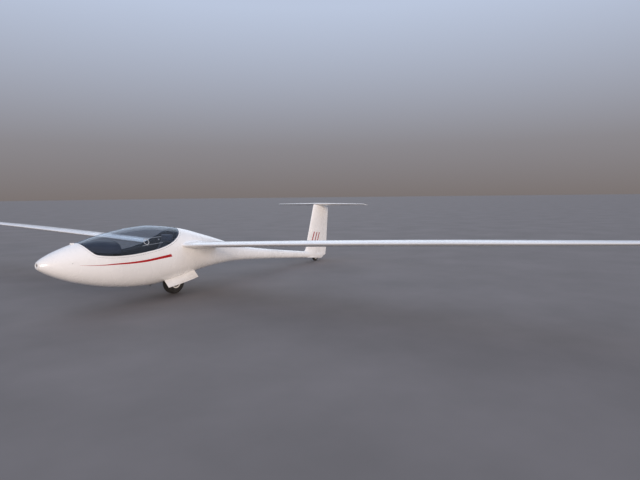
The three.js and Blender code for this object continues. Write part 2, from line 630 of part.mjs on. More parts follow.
function makeTailplane() {
  const half = TAILPLANE_SECTIONS.map(({ y, lead, trail, thick }) => (
    aerofoilRing({ lead: [lead, y, TAILPLANE_Z], chord: lead - trail, thick, edge: 2 })
  ));
  const other = half.slice(1).map((ring) => ring.map((p) => new THREE.Vector3(p.x, -p.y, p.z))).reverse();
  const whole = loft([...other, ...half]);
  const { hingeX, notch, end, radiusFrom, radiusTo, tube, ribs } = ELEVATOR;
  const port = splitAtHinge(whole, {
    start: [hingeX, notch, TAILPLANE_Z],
    end: [hingeX, end, TAILPLANE_Z],
    startRadius: radiusFrom,
    endRadius: radiusTo,
    upright: false,
    ribs,
  });
  const height = [TAILPLANE_Z - 100, TAILPLANE_Z + 100];
  const tipEnd = block([hingeX - BEYOND, hingeX], [end - 5, end + 100], height);
  const panel = port.moving.add(whole.intersect(tipEnd));
  const torqueTube = rod([hingeX, -notch - 5, TAILPLANE_Z], [hingeX, notch + 5, TAILPLANE_Z], tube);
  const centreCut = block([hingeX - BEYOND, hingeX + tube + MOVING_GAP], [-notch - 1, notch + 1], height);
  const tipCut = block([hingeX - BEYOND, hingeX + radiusTo + MOVING_GAP], [end - 10, end + 100], height);
  const fixed = port.fixed.intersect(mirrored(port.fixed));
  return {
    stabilizer: fixed.subtract(centreCut).subtract(bothSides(tipCut)),
    elevator: union(panel, mirrored(panel), torqueTube),
  };
}

// Space that the cockpit fittings are trimmed to
function cockpitRoom(gap) {
  const inside = hull(CAVITY.front - 5, CAVITY.rear, POD_STATIONS, SHELL + gap);
  return inside.intersect(prism(CAVITY_OUTLINE, 'y', -BEYOND, BEYOND));
}

// An arch across the cockpit, from its port foot over the top to the starboard foot
function hoodArch({ x, top, half, base }, inset) {
  return Array.from({ length: HOOD.points }, (_, i) => {
    const [sideways, upwards] = squaredOff((Math.PI * i) / (HOOD.points - 1), HOOD.roundness);
    return new THREE.Vector3(x, (half - inset) * sideways, base + (top - base - inset) * upwards);
  });
}

function makeHood() {
  return loft(HOOD_SECTIONS.map((row) => [...hoodArch(row, 0), ...hoodArch(row, HOOD.thick).reverse()]));
}

function makeInstrumentPanel() {
  const [section] = HOOD_SECTIONS;
  const arch = hoodArch(section, 0).map((p) => [p.y, p.z]);
  const front = section.x - SEAT_GAP;
  return prism([...arch, ...PANEL.foot], 'x', front - PANEL.thick, front);
}

function makeInstrumentColumn(room) {
  return block([COLUMN.rear, COLUMN.front], [-COLUMN.half, COLUMN.half], [0, COLUMN.top]).intersect(room);
}

// Seat pan: as wide as the cockpit under the pilot, narrower up the back
function makeSeatPan(room) {
  const { thick, half, backHalf, backFrom, backTo } = PAN;
  const under = PAN_LINE.map(([x, z]) => [x, z - thick]).reverse();
  const fromFront = [
    [-half, 0], [half, 0], [half, backFrom], [backHalf, backTo], [backHalf, BEYOND * 3],
    [-backHalf, BEYOND * 3], [-backHalf, backTo], [-half, backFrom],
  ];
  const pan = prism([...PAN_LINE, ...under], 'y', -half, half);
  return pan.intersect(prism(fromFront, 'x', -BEYOND, 4 * BEYOND)).intersect(room);
}

function makeStick() {
  const at = ([x, z]) => [x, 0, z];
  const { foot, bend, hand, radius, grip, gripFrom } = STICK;
  const { low, high, lowRadius, highRadius } = STICK_BOOT;
  const gripStart = bend.map((value, i) => lerp(value, hand[i], gripFrom));
  const abovePan = prism(
    [...PAN_LINE.map(([x, z]) => [x, z + SEAT_GAP]), [0, 1200], [PAN_LINE[0][0], 1200]],
    'y', -BEYOND, BEYOND,
  );
  return union(
    rod(at(foot), at(bend), radius),
    rod(at(bend), at(hand), radius),
    rod(at(gripStart), at(hand), grip, grip + 2),
    rod(at([foot[0], low]), at([foot[0] - 4, high]), lowRadius, highRadius),
  ).intersect(abovePan);
}

function makePedals(room) {
  const { x, z, rod: radius, plate, below, above, thick } = PEDALS;
  const bar = rod([x, -BEYOND, z], [x, BEYOND, z], radius);
  const pedal = block([x - thick / 2, x + thick / 2], plate, [z - below, z + above]);
  return union(bar, bothSides(pedal)).intersect(room);
}

function makeLever(room) {
  const { z, front, rear, y, radius, handle, bracket } = LEVER;
  const half = bracket / 2;
  const holder = (x) => block([x - half, x + half], [y, y + 5 * bracket], [z - 10, z + 10]);
  const bar = rod([rear, y, z], [front, y, z], radius);
  const grip = rod([front - 40, y - 4, z - 6], [front - 62, y - 34, z + 58], handle);
  return union(bar, grip, holder(rear + 30), holder(front - 20)).intersect(room);
}

// Headrest pad on two posts from the cockpit's rear wall
function makeHeadrest() {
  const { wall, rear, front, half, bottom, top, postY, post } = HEADREST;
  const outline = [
    [rear, bottom], [front - 12, bottom], [front, bottom + 25], [front - 6, top - 25], [front - 30, top],
    [rear, top],
  ];
  const middle = (bottom + top) / 2;
  const bar = rod([wall + SEAT_GAP, postY, middle], [rear + 10, postY, middle], post);
  return union(prism(outline, 'y', -half, half), bothSides(bar));
}

// A cushion on the seat line between its front and its rear edge
function makeCushion({ front, rear, half, thick }, room) {
  const onLine = (x) => {
    const after = PAN_LINE.findIndex((point) => point[0] < x);
    const [[x0, z0], [x1, z1]] = [PAN_LINE[after - 1], PAN_LINE[after]];
    return [x, lerp(z0, z1, (x - x0) / (x1 - x0))];
  };
  const line = [onLine(front), ...PAN_LINE.filter(([x]) => x < front && x > rear), onLine(rear)];
  const raised = (distance) => line.map(([x, z], i) => {
    const before = line[Math.max(i - 1, 0)];
    const after = line[Math.min(i + 1, line.length - 1)];
    const along = [after[0] - before[0], after[1] - before[1]];
    const share = distance / Math.hypot(...along);
    return [x + share * along[1], z - share * along[0]];
  });
  return prism([...raised(SEAT_GAP), ...raised(thick).reverse()], 'y', -half, half).intersect(room);
}

// Landing gear
function makeGearFork(centre) {
  const { legY, legRadius, eyeRadius } = MAIN_WHEEL;
  const [x, z] = centre;
  const leg = rod([x, legY, z], [FORK_TOP.x, legY, FORK_TOP.z], legRadius);
  const eye = rod([x, legY - legRadius, z], [x, legY + legRadius, z], eyeRadius);
  const cross = rod([FORK_TOP.x, -legY - 25, FORK_TOP.z], [FORK_TOP.x, legY + 25, FORK_TOP.z], legRadius);
  const brace = rod([x - 8, legY, z + 8], [40, legY, WELL.roof - 13], legRadius - 3);
  return union(bothSides(leg.add(eye).add(brace)), cross);
}

function makeGearDoor() {
  const { thick, leaf, width, lean, inset } = DOOR;
  const face = WELL.half - SEAT_GAP;
  const out = [Math.cos(lean), Math.sin(lean)];
  const ends = [WELL.front - inset, WELL.rear + inset];
  const rings = Array.from({ length: 4 }, (_, i) => {
    const x = lerp(ends[0], ends[1], i / 3);
    const skin = bellyAt(x, WELL.half);
    const fold = skin - 5;
    const outline = [
      [face - thick, skin + leaf], [face, skin + leaf], [face, fold],
      [face + width * out[0], fold - width * out[1]],
      [face + width * out[0] - thick * out[1], fold - width * out[1] - thick * out[0]],
      [face - thick, fold - thick * 0.9],
    ];
    return outline.map(([y, z]) => new THREE.Vector3(x, y, z));
  });
  return loft(rings);
}

// Tow release: a plate on the belly skin with its hook
function makeTowRelease() {
  const { x, plate, half, below, hook } = TOW_RELEASE;
  const skin = bellyAt(x, 0);
  const skinRoom = hull(x + 4 * plate, x - 4 * plate, POD_STATIONS, -SEAT_GAP);
  return union(
    block([x - plate, x + plate], [-half, half], [skin - below, skin + 3 * below]),
    block([x - plate + 8, x - plate + 24], [-5, 5], [skin - hook, skin]),
  ).subtract(skinRoom);
}

function makeNoseRing() {
  const profile = NOSE_RING_PROFILE.map(([radius, x]) => new THREE.Vector2(radius, x));
  const geometry = new THREE.LatheGeometry([...profile, profile[0].clone()], RING_POINTS);
  return solid(geometry.rotateZ(-Math.PI / 2).translate(0, 0, NOSE_AXIS_Z));
}

// Assembly of the airframe
const canopy = makeCanopy();
const wholeWing = makeWing();
const airbrake = makeAirbrake(wholeWing);
const wing = splitAtHinge(wholeWing, {
  start: wingPoint(AILERON.from, AILERON.hingeAt),
  end: wingPoint(AILERON.to, AILERON.hingeAt),
  startRadius: wingHalfDepth(AILERON.from, AILERON.hingeAt) + SEAT_GAP,
  endRadius: wingHalfDepth(AILERON.to, AILERON.hingeAt) + SEAT_GAP,
  upright: false,
  ribs: AILERON.ribs,
});
const fixedWing = wing.fixed.subtract(airbrake.cut);
const tail = makeFin();
const tailplane = makeTailplane();
const room = cockpitRoom(SEAT_GAP);
const mainCentre = [MAIN_WHEEL.radius * Math.sin(STANCE), MAIN_WHEEL.radius * Math.cos(STANCE)];

add(airframe, 'fuselage_pod', makePod(), GELCOAT);
add(airframe, 'tail_boom', hull(POD_END_X - SEAT_GAP, BOOM_END_X, BOOM_STATIONS), GELCOAT);
add(airframe, 'nose_ring', makeNoseRing(), GELCOAT);
add(airframe, 'fin', tail.fin, GELCOAT);
add(airframe, 'rudder', tail.rudder, GELCOAT);
add(airframe, 'stabilizer', tailplane.stabilizer, GELCOAT);
add(airframe, 'elevator', tailplane.elevator, GELCOAT);
for (const [side, hand] of [['left', (body) => body], ['right', mirrored]]) {
  add(airframe, `wing_${side}`, hand(fixedWing), GELCOAT);
  add(airframe, `aileron_${side}`, hand(wing.moving), GELCOAT);
  add(airframe, `airbrake_upper_${side}`, hand(airbrake.upper), GELCOAT);
  add(airframe, `airbrake_lower_${side}`, hand(airbrake.lower), ALLOY);
  add(airframe, `gear_door_${side}`, hand(makeGearDoor()), GELCOAT);
}
add(airframe, 'canopy_frame', canopy.frame, GELCOAT);
add(airframe, 'canopy_glass', canopy.glass, GLAZING);
add(airframe, 'vent_window', canopy.window, GLAZING);
add(airframe, 'canopy_hinge', makeCanopyHinge(), GELCOAT);
add(airframe, 'glare_shield', makeHood(), NAVY);
add(airframe, 'instrument_panel', makeInstrumentPanel(), BLACK);
add(airframe, 'instrument_column', makeInstrumentColumn(room), INTERIOR);
add(airframe, 'seat_pan', makeSeatPan(room), INTERIOR);
add(airframe, 'seat_cushion', makeCushion(SEAT_CUSHION, room), CUSHION);
add(airframe, 'back_cushion', makeCushion(BACK_CUSHION, room), CUSHION);
add(airframe, 'headrest', makeHeadrest(), CUSHION);
add(airframe, 'control_stick', makeStick(), BLACK);
add(airframe, 'rudder_pedals', makePedals(room), STEEL);
add(airframe, 'airbrake_lever', makeLever(room), BLUE);
add(airframe, 'gear_lever', mirrored(makeLever(room)), BLACK);
add(airframe, 'gear_fork', makeGearFork(mainCentre), STEEL);
add(airframe, 'tow_release', makeTowRelease(), STEEL);

// Wheels stand in the ground frame, with a flat facet down
function addWheel(x, size, names, tyre, rim, axleHalf) {
  const hub = new THREE.Group();
  hub.position.set(x, 0, size.radius);
  add(hub, names.tyre, wheelRing(tyre, size.segments), RUBBER);
  add(hub, names.rim, wheelRing(rim, size.rimSegments), ALLOY);
  add(hub, names.axle, rod([0, -axleHalf, 0], [0, axleHalf, 0], size.axle), STEEL);
  wheels.add(hub);
}
addWheel(0, MAIN_WHEEL, { tyre: 'main_tyre', rim: 'main_rim', axle: 'main_axle' },
  MAIN_TYRE_PROFILE, MAIN_RIM_PROFILE, MAIN_WHEEL.legY - MAIN_WHEEL.legRadius - SEAT_GAP);
addWheel(TAIL_WHEEL_X, TAIL_WHEEL, { tyre: 'tail_tyre', rim: 'tail_rim', axle: 'tail_axle' },
  TAIL_TYRE_PROFILE, TAIL_RIM_PROFILE, TAIL_WHEEL.wellHalf - SEAT_GAP);

const glider = new THREE.Group();
glider.add(airframe, wheels);

export default glider;
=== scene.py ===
# A single-seat sailplane on its gear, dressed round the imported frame.
# Tables are in millimetres in the level airframe; finished pieces are in metres in the row frame.
import math

import bmesh
import bpy
import numpy as np
from mathutils import Matrix, Vector


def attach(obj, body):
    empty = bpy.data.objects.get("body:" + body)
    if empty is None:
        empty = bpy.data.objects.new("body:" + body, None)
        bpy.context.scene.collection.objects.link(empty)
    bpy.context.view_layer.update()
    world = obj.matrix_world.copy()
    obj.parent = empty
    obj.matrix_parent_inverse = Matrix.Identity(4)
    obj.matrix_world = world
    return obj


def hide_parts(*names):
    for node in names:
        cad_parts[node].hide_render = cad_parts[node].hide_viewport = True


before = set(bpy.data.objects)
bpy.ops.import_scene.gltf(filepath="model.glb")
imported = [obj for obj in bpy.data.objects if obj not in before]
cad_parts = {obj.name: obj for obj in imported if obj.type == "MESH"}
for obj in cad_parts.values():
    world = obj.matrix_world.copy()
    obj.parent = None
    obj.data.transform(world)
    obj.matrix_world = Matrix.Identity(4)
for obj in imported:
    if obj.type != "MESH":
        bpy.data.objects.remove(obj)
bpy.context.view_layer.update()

# Fuselage sections: x, top, bottom, waist, half width
SECTIONS = np.array([
    (2115, 452, 422, 437, 15), (2090, 482, 393, 437, 45), (2030, 527, 357, 440, 85),
    (1900, 600, 300, 447, 140), (1657, 703, 228, 462, 208), (1400, 799, 180, 490, 256),
    (1160, 876, 152, 515, 285), (855, 952, 138, 540, 306), (520, 1000, 148, 560, 315),
    (250, 1004, 190, 575, 308), (-15, 990, 250, 590, 288), (-480, 925, 365, 612, 222),
    (-957, 846, 450, 623, 160), (-1300, 785, 492, 623, 130), (-1790, 735, 517, 623, 106),
    (-2400, 716, 534, 623, 90), (-3100, 701, 545, 623, 77), (-3700, 693, 553, 623, 68),
    (-3950, 690, 556, 623, 64), (-4100, 688, 550, 621, 60), (-4290, 688, 540, 618, 44),
    (-4392, 690, 578, 634, 26),
], float)
ROUNDNESS = 2.15
RING_POINTS = 96
NOSE_FACE_X = 2088
NOSE_AXIS_Z = 437
NOSE_HOLE_RADIUS = 16
TAIL_CONE_END_X = -4376
SHELL = 14

STANCE = math.radians(6.8)
SEAT_GAP = 0.3
FINE_GAP = 2.0
CANOPY_GAP = 5.0
BEYOND = 400.0

CAVITY = {"front": 1990, "rear": -60}
CAVITY_OUTLINE = [(1990, 0), (420, 0), (420, 265), (300, 370), (100, 520), (-25, 640), (-50, 750),
                  (-50, 1300), (1990, 1300)]
WELL = {"front": 335, "rear": -255, "half": 150, "roof": 420}
WELL_OUTLINE = [(335, 0), (335, 262), (125, 400), (50, 420), (-200, 420), (-255, 380), (-255, 0)]
CANOPY_EDGE = [(1669, 719), (1657, 703), (1634, 672), (1578, 607), (1515, 562), (1451, 549), (1255, 546),
               (1041, 565), (808, 606), (553, 667), (360, 741), (226, 822), (134, 901), (86, 958), (32, 1030)]
CANOPY = {"front": 1800, "rear": -45, "band": 22, "depth": 18, "glass": 5, "rim_band": 26, "rim_depth": 38}
VENT_WINDOW = [(853, 710), (853, 798), (525, 846), (525, 768)]
PIN = {"x": 1666, "z": 706, "radius": 3, "knuckle": 6.5, "half": 8, "ear": 14, "front": 1700, "drop": 26}

PAN_LINE = [(1010, 318), (900, 262), (780, 228), (640, 205), (520, 215), (425, 285), (335, 415), (245, 560),
            (185, 690), (150, 800)]
PAN_HALF = ((430, 560), (260, 190))
HOOD_SECTIONS = np.array([(1150, 758, 236, 600), (1270, 760, 208, 598), (1400, 748, 168, 600),
                          (1500, 724, 122, 618), (1560, 702, 84, 640)], float)
HEADREST = {"wall": -50, "rear": 172, "front": 248, "half": 112, "bottom": 768, "top": 892,
            "post_y": 60, "post": 9}

WING_ROOT_Y, WING_BREAK_Y, WING_TIP_Y = 345, 4300, 7400
WING_LEAD_X = (157, 134.5, 73)
WING_ROOT_Z, WING_SLOPE, WING_DROOP, WING_TIP_Z = 734.5, 0.0532, 1.6e-6, 1043
WING_CHORD = (800, 570, 280)
WING_RATIO = (0.112, 0.13, 0.118)
WING_INCIDENCE = math.radians(0.7)
WING_CAMBER = 0.028
WING_EDGE = 2.4
WING_TIP_CAP = [(7412, 1, 0.985, 0.985), (7430, 5, 0.955, 0.93), (7447, 10, 0.92, 0.8),
                (7463, 18, 0.87, 0.63), (7478, 28, 0.78, 0.44), (7488, 38, 0.69, 0.28)]
AEROFOIL_NOSE, AEROFOIL_TAIL, AEROFOIL_POINTS = 0.55, 1.15, 33
AILERON = {"from": 4350, "to": 7240, "at": 0.78, "ribs": (0.12, 0.5, 0.88)}
AIRBRAKE = {"from": 2320, "to": 3500, "at": 0.52, "cap": 5, "half": 15, "depth": 56, "slot": 11.5,
            "near": 2.5, "far": 6.5}

FIN_SECTIONS = np.array([(560, -3700, -4566, 98), (697, -3676, -4566, 98), (760, -3702, -4580, 96),
                         (945, -3743, -4580, 90), (1330, -3838, -4580, 79), (1715, -3932, -4580, 68),
                         (1745, -3942, -4566, 62)], float)
FIN_EDGE = 4
RUDDER = {"from": (-4387, 583), "to": (-4458, 1741), "r0": 22, "r1": 14.3, "ribs": (0.12, 0.5, 0.9)}
TAIL_CHAMFER = ((-4290, 538), (-4535, 632))
TAILPLANE_Z = 1769
TAILPLANE_SECTIONS = np.array([(0, -4020, -4500, 46), (380, -4061, -4462, 39), (1062, -4135, -4394, 25),
                               (1106, -4152, -4388, 18), (1120, -4190, -4378, 8)], float)
ELEVATOR = {"x": -4345, "notch": 48, "end": 1092, "r0": 15.2, "r1": 5.3, "tube": 8, "ribs": (0.25, 0.75)}

MAIN_R, TAIL_R, TAIL_X = 175.0, 100.0, -4147.0
TAIL_WELL = {"radius": 109, "half": 31, "bottom": 438}
DOOR = {"thick": 8, "leaf": 26, "width": 128, "lean": math.radians(44), "inset": 6}

AIRFRAME = Matrix.Rotation(-STANCE, 4, "Y") @ Matrix.Scale(0.001, 4)
GROUND = Matrix.Scale(0.001, 4)


# Curves through the tables
def monotone(knots, values, at):
    """Monotone cubic through values at rising knots."""
    h, d = np.diff(knots), np.diff(values) / np.diff(knots)
    m = np.zeros(len(knots))
    m[0], m[-1] = d[0], d[-1]
    for i in range(1, len(d)):
        if d[i - 1] * d[i] > 0:
            w1, w2 = 2 * h[i] + h[i - 1], h[i] + 2 * h[i - 1]
            m[i] = (w1 + w2) / (w1 / d[i - 1] + w2 / d[i])
    k = np.clip(np.searchsorted(knots, at, side="right") - 1, 0, len(h) - 1)
    t = (at - knots[k]) / h[k]
    return (values[k] * (1 + 2 * t) * (1 - t) ** 2 + m[k] * h[k] * t * (1 - t) ** 2
            + values[k + 1] * t * t * (3 - 2 * t) + m[k + 1] * h[k] * t * t * (t - 1))


def row_at(table, at):
    """The other columns of a table at one value of its first."""
    return [float(monotone(table[:, 0], table[:, c], np.array([float(at)]))[0])
            for c in range(1, table.shape[1])]


# The fuselage columns, faired along the length so that highlights run clean
SKIN_X = np.arange(-4392, 2115.1, 5.0)
SKIN = [monotone(SECTIONS[::-1, 0], SECTIONS[::-1, c], SKIN_X) for c in (1, 2, 3, 4)]
FAIR = np.clip((2040 - SKIN_X) / 400, 0, 1) * np.clip((SKIN_X + 4350) / 150, 0, 1)
for column in SKIN:
    for _ in range(160):
        column[1:-1] += FAIR[1:-1] * ((column[:-2] + column[2:]) / 2 - column[1:-1]) / 2


def section_at(x):
    return [float(np.interp(x, SKIN_X, column)) for column in SKIN]


def squared_off(angle, roundness=ROUNDNESS):
    c, s = np.cos(angle), np.sin(angle)
    return np.sign(c) * np.abs(c) ** (2 / roundness), np.sign(s) * np.abs(s) ** (2 / roundness)


def fuselage_ring(x, inset=0.0):
    top, bottom, waist, half = section_at(x)
    side, up = squared_off(2 * np.pi * np.arange(RING_POINTS) / RING_POINTS)
    height = np.where(up > 0, top - inset - waist, waist - bottom - inset)
    return np.stack([np.full(RING_POINTS, float(x)), (half - inset) * side, waist + height * up], 1)


def half_width(x, z):
    """Half width of the fuselage skin at a height; 0 above or below it."""
    top, bottom, waist, half = section_at(x)
    reach = (z - waist) / ((top - waist) if z > waist else (bottom - waist))
    return half * max(0.0, 1 - abs(reach) ** ROUNDNESS) ** (1 / ROUNDNESS)


def belly_at(x, y):
    _, bottom, waist, half = section_at(x)
    return waist - (waist - bottom) * max(0.0, 1 - abs(y / half) ** ROUNDNESS) ** (1 / ROUNDNESS)


def catmull(points, per_segment=14):
    """Centripetal Catmull-Rom through points, as a dense polyline."""
    p = np.array(points, float)
    p = np.vstack([2 * p[0] - p[1], p, 2 * p[-1] - p[-2]])
    out = []
    for i in range(1, len(p) - 2):
        d0, d1, d2 = (math.sqrt(np.linalg.norm(p[j + 1] - p[j])) for j in (i - 1, i, i + 1))
        t1 = ((p[i] - p[i - 1]) / d0 - (p[i + 1] - p[i - 1]) / (d0 + d1) + (p[i + 1] - p[i]) / d1) * d1
        t2 = ((p[i + 1] - p[i]) / d1 - (p[i + 2] - p[i]) / (d1 + d2) + (p[i + 2] - p[i + 1]) / d2) * d1
        for t in np.arange(per_segment) / per_segment:
            h = (2 * t ** 3 - 3 * t ** 2 + 1, t ** 3 - 2 * t ** 2 + t, -2 * t ** 3 + 3 * t ** 2,
                 t ** 3 - t ** 2)
            out.append(h[0] * p[i] + h[1] * t1 + h[2] * p[i + 1] + h[3] * t2)
    return np.array(out + [p[-2]])


# Closed solids; the placeholder slots carry each body's paint number through the boolean steps
PAINTS = [bpy.data.materials.new(f"paint_{i}") for i in range(4)]


def solid(points, faces, paint=0):
    mesh = bpy.data.meshes.new("part")
    for slot in PAINTS:
        mesh.materials.append(slot)
    mesh.from_pydata([tuple(map(float, p)) for p in points], [], [tuple(map(int, f)) for f in faces])
    edit = bmesh.new()
    edit.from_mesh(mesh)
    bmesh.ops.remove_doubles(edit, verts=edit.verts, dist=1e-4)
    bmesh.ops.recalc_face_normals(edit, faces=edit.faces)
    edit.to_mesh(mesh)
    edit.free()
    mesh.polygons.foreach_set("material_index", [paint] * len(mesh.polygons))
    body = bpy.data.objects.new("part", mesh)
    bpy.context.scene.collection.objects.link(body)
    return body


def loft(rings, paint=0, caps=True):
    rings = np.array(rings)
    rows, count = rings.shape[:2]
    faces = []
    for r in range(rows - 1):
        for i in range(count):
            a, b = r * count + i, r * count + (i + 1) % count
            faces.append((a, b, b + count, a + count))
    if caps:
        faces += [tuple(range(count)), tuple(range((rows - 1) * count, rows * count))]
    return solid(rings.reshape(-1, 3), faces, paint)


def prism(outline, across, low, high, paint=0):
    u, v = [a for a in range(3) if a != across]
    rings = np.zeros((2, len(outline), 3))
    for r, level in enumerate((low, high)):
        rings[r, :, u], rings[r, :, v] = np.array(outline, float).T
        rings[r, :, across] = level
    return loft(rings, paint)


def block(xs, ys, zs, paint=0):
    return prism([(xs[0], ys[0]), (xs[1], ys[0]), (xs[1], ys[1]), (xs[0], ys[1])], 2, zs[0], zs[1], paint)


def round_angles(count):
    return [2 * math.pi * i / count for i in range(count)]


def rod(start, end, r0, r1=None, sides=24, paint=0):
    start, end = Vector(start), Vector(end)
    axis = (end - start).normalized()
    u = axis.orthogonal().normalized()
    v = axis.cross(u)
    rings = []
    for t in (0, 1):
        radius = r0 if r1 is None else r0 + (r1 - r0) * t
        rings.append([start.lerp(end, t) + radius * (u * math.cos(a) + v * math.sin(a))
                      for a in round_angles(sides)])
    return loft(rings, paint)


def lathe(profile, segments, centre, axis="y", paint=0):
    """Turns a closed profile of (radius, offset) about an axis through centre."""
    place_at = {"x": lambda r, off, c, s: (off, r * s, -r * c),
                "y": lambda r, off, c, s: (r * s, off, -r * c),
                "z": lambda r, off, c, s: (r * s, r * c, off)}[axis]
    rings = []
    for a in round_angles(segments):
        c, s = math.cos(a), math.sin(a)
        rings.append([[m + d for m, d in zip(centre, place_at(r, off, c, s))] for r, off in profile])
    rings.append(rings[0])
    return loft(rings, paint, caps=False)


def tube(points, radius, sides=12, paint=0, flat=1.0, radii=None):
    """A round bar along a polyline."""
    pts = [Vector(p) for p in points]
    rings = []
    up = Vector((0, 1, 0))
    for k, p in enumerate(pts):
        along = (pts[min(k + 1, len(pts) - 1)] - pts[max(k - 1, 0)]).normalized()
        side = along.cross(up)
        if side.length < 1e-3:
            side = along.orthogonal()
        side.normalize()
        other = along.cross(side).normalized()
        r = radii[k] if radii else radius
        rings.append([p + r * (math.cos(a) * side + flat * math.sin(a) * other) for a in round_angles(sides)])
    return loft(rings, paint)


def combine(body, operation, others):
    """Boolean steps on a body; the other bodies are used up."""
    for other in others:
        modifier = body.modifiers.new("step", "BOOLEAN")
        modifier.operation, modifier.object, modifier.solver = operation, other, "MANIFOLD"
    evaluated(body)
    for other in others:
        drop(other)
    return body


def add(body, *others):
    return combine(body, "UNION", others)


def cut(body, *others):
    return combine(body, "DIFFERENCE", others)


def common(body, *others):
    return combine(body, "INTERSECT", others)


def modified(body, kind, **values):
    """The body with one modifier applied."""
    modifier = body.modifiers.new(kind, kind)
    for key, value in values.items():
        setattr(modifier, key, value)
    return evaluated(body)


def evaluated(body):
    graph = bpy.context.evaluated_depsgraph_get()
    mesh = bpy.data.meshes.new_from_object(body.evaluated_get(graph))
    old = body.data
    body.modifiers.clear()
    body.data = mesh
    bpy.data.meshes.remove(old)
    return body


def drop(body):
    mesh = body.data
    bpy.data.objects.remove(body)
    if mesh.users == 0:
        bpy.data.meshes.remove(mesh)


def copied(body):
    twin = bpy.data.objects.new("part", body.data.copy())
    bpy.context.scene.collection.objects.link(twin)
    return twin


def mirrored(body):
    twin = copied(body)
    twin.data.transform(Matrix.Scale(-1, 4, (0, 1, 0)))
    twin.data.flip_normals()
    return twin


def reflected(body):
    twin = mirrored(body)
    drop(body)
    return twin


def moved(body, matrix):
    body.data.transform(matrix)
    if matrix.determinant() < 0:
        body.data.flip_normals()
    return body


def joined(*bodies):
    """One mesh of several bodies that only touch."""
    edit = bmesh.new()
    for body in bodies:
        edit.from_mesh(body.data)
    for body in bodies[1:]:
        drop(body)
    edit.to_mesh(bodies[0].data)
    edit.free()
    return bodies[0]


def hull(start, end, inset=0.0, paint=0):
    steps = [2094, 2090, 2084, 2076, 2066, 2054, 2040, 2024, 2006]
    steps += list(range(1985, -1300, -28)) + list(range(-1300, -3940, -60)) + list(range(-3940, -4376, -18))
    inner = [x for x in steps if end + 1 < x < start - 1]
    return loft([fuselage_ring(x, inset) for x in [start, *inner, end]], paint)


EDGE_CURVE = catmull(CANOPY_EDGE)


def canopy_edge(offset):
    along = np.gradient(EDGE_CURVE, axis=0)
    along /= np.linalg.norm(along, axis=1)[:, None]
    return EDGE_CURVE + offset * np.stack([along[:, 1], -along[:, 0]], 1)


def canopy_region(offset, paint=0):
    edge = canopy_edge(offset)
    outline = [*map(tuple, edge), (edge[-1][0], 1400), (edge[0][0], 1400)]
    return prism(outline, 1, -BEYOND, BEYOND, paint)


# Wings
def aerofoil_half(s):
    shape = lambda q: q ** AEROFOIL_NOSE * (1 - q) ** AEROFOIL_TAIL
    return shape(s) / shape(AEROFOIL_NOSE / (AEROFOIL_NOSE + AEROFOIL_TAIL)) / 2


def aerofoil_ring(lead, chord, thick, incidence=0.0, camber=0.0, edge=2.0, upright=False):
    s = (1 - np.cos(np.pi * np.arange(AEROFOIL_POINTS) / (AEROFOIL_POINTS - 1))) / 2
    off = thick * aerofoil_half(s) + edge / 2 * s
    x = lead[0] - chord * s * math.cos(incidence)
    mean = chord * (4 * camber * s * (1 - s) - s * math.sin(incidence))
    x = np.concatenate([x[::-1], x[1:]])
    off = np.concatenate([off[::-1], -off[1:]])
    mean = np.concatenate([mean[::-1], mean[1:]])
    if upright:
        return np.stack([x, off, np.full_like(x, lead[2])], 1)
    return np.stack([x, np.full_like(x, lead[1]), lead[2] + mean + off], 1)


def blend3(y, values):
    if y > WING_BREAK_Y:
        return values[1] + (values[2] - values[1]) * (y - WING_BREAK_Y) / (WING_TIP_Y - WING_BREAK_Y)
    return values[0] + (values[1] - values[0]) * (y - WING_ROOT_Y) / (WING_BREAK_Y - WING_ROOT_Y)


def wing_section(y):
    rise = lambda d: WING_ROOT_Z + WING_SLOPE * d - WING_DROOP * d * d
    z_break = rise(WING_BREAK_Y - WING_ROOT_Y)
    z = rise(y - WING_ROOT_Y) if y <= WING_BREAK_Y else blend3(y, (0, z_break, WING_TIP_Z))
    chord = blend3(y, WING_CHORD)
    return (blend3(y, WING_LEAD_X), y, z), chord, chord * blend3(y, WING_RATIO)


def wing_ring(y):
    return aerofoil_ring(*wing_section(y), WING_INCIDENCE, WING_CAMBER, WING_EDGE)


def wing_half_depth(y, s):
    return wing_section(y)[2] * aerofoil_half(s) + WING_EDGE / 2 * s


def wing_point(y, s, skin=0):
    lead, chord, _ = wing_section(y)
    rise = chord * (4 * WING_CAMBER * s * (1 - s) - s * math.sin(WING_INCIDENCE))
    return (lead[0] - chord * s * math.cos(WING_INCIDENCE), y, lead[2] + rise + skin * wing_half_depth(y, s))


def split_at_hinge(whole, start, end, r0, r1, upright, ribs):
    """Moving part with a round nose, and the fixed part with a cove round it."""
    start, end = Vector(start), Vector(end)
    along = (end - start).normalized()
    span = 2 if upright else 1

    def nose(grow, paint=0):
        return rod(start - along * grow, end + along * grow, r0 + grow, r1 + grow, 72, paint)

    def aft(grow):
        line = [(start + along * -grow), (end + along * grow)]
        near = [(p[0] + grow, p[span]) for p in line]
        outline = [*near, *[(x - BEYOND, w) for x, w in reversed(near)]]
        return prism(outline, 1, -BEYOND, BEYOND) if upright else prism(outline, 2, 0, 5 * BEYOND)

    moving = add(common(copied(whole), aft(0)), nose(0))
    fixed = cut(whole, aft(FINE_GAP), nose(FINE_GAP))
    for share in ribs:
        centre = start.lerp(end, share)
        radius = r0 + (r1 - r0) * share
        size = [(centre[0], centre[0] + radius + 9), None, None]
        size[span] = (centre[span] - 5, centre[span] + 5)
        size[3 - span] = (centre[3 - span] - 0.4 * radius, centre[3 - span] + 0.4 * radius)
        fixed = add(fixed, cut(block(*size), nose(SEAT_GAP)))
    return moving, fixed


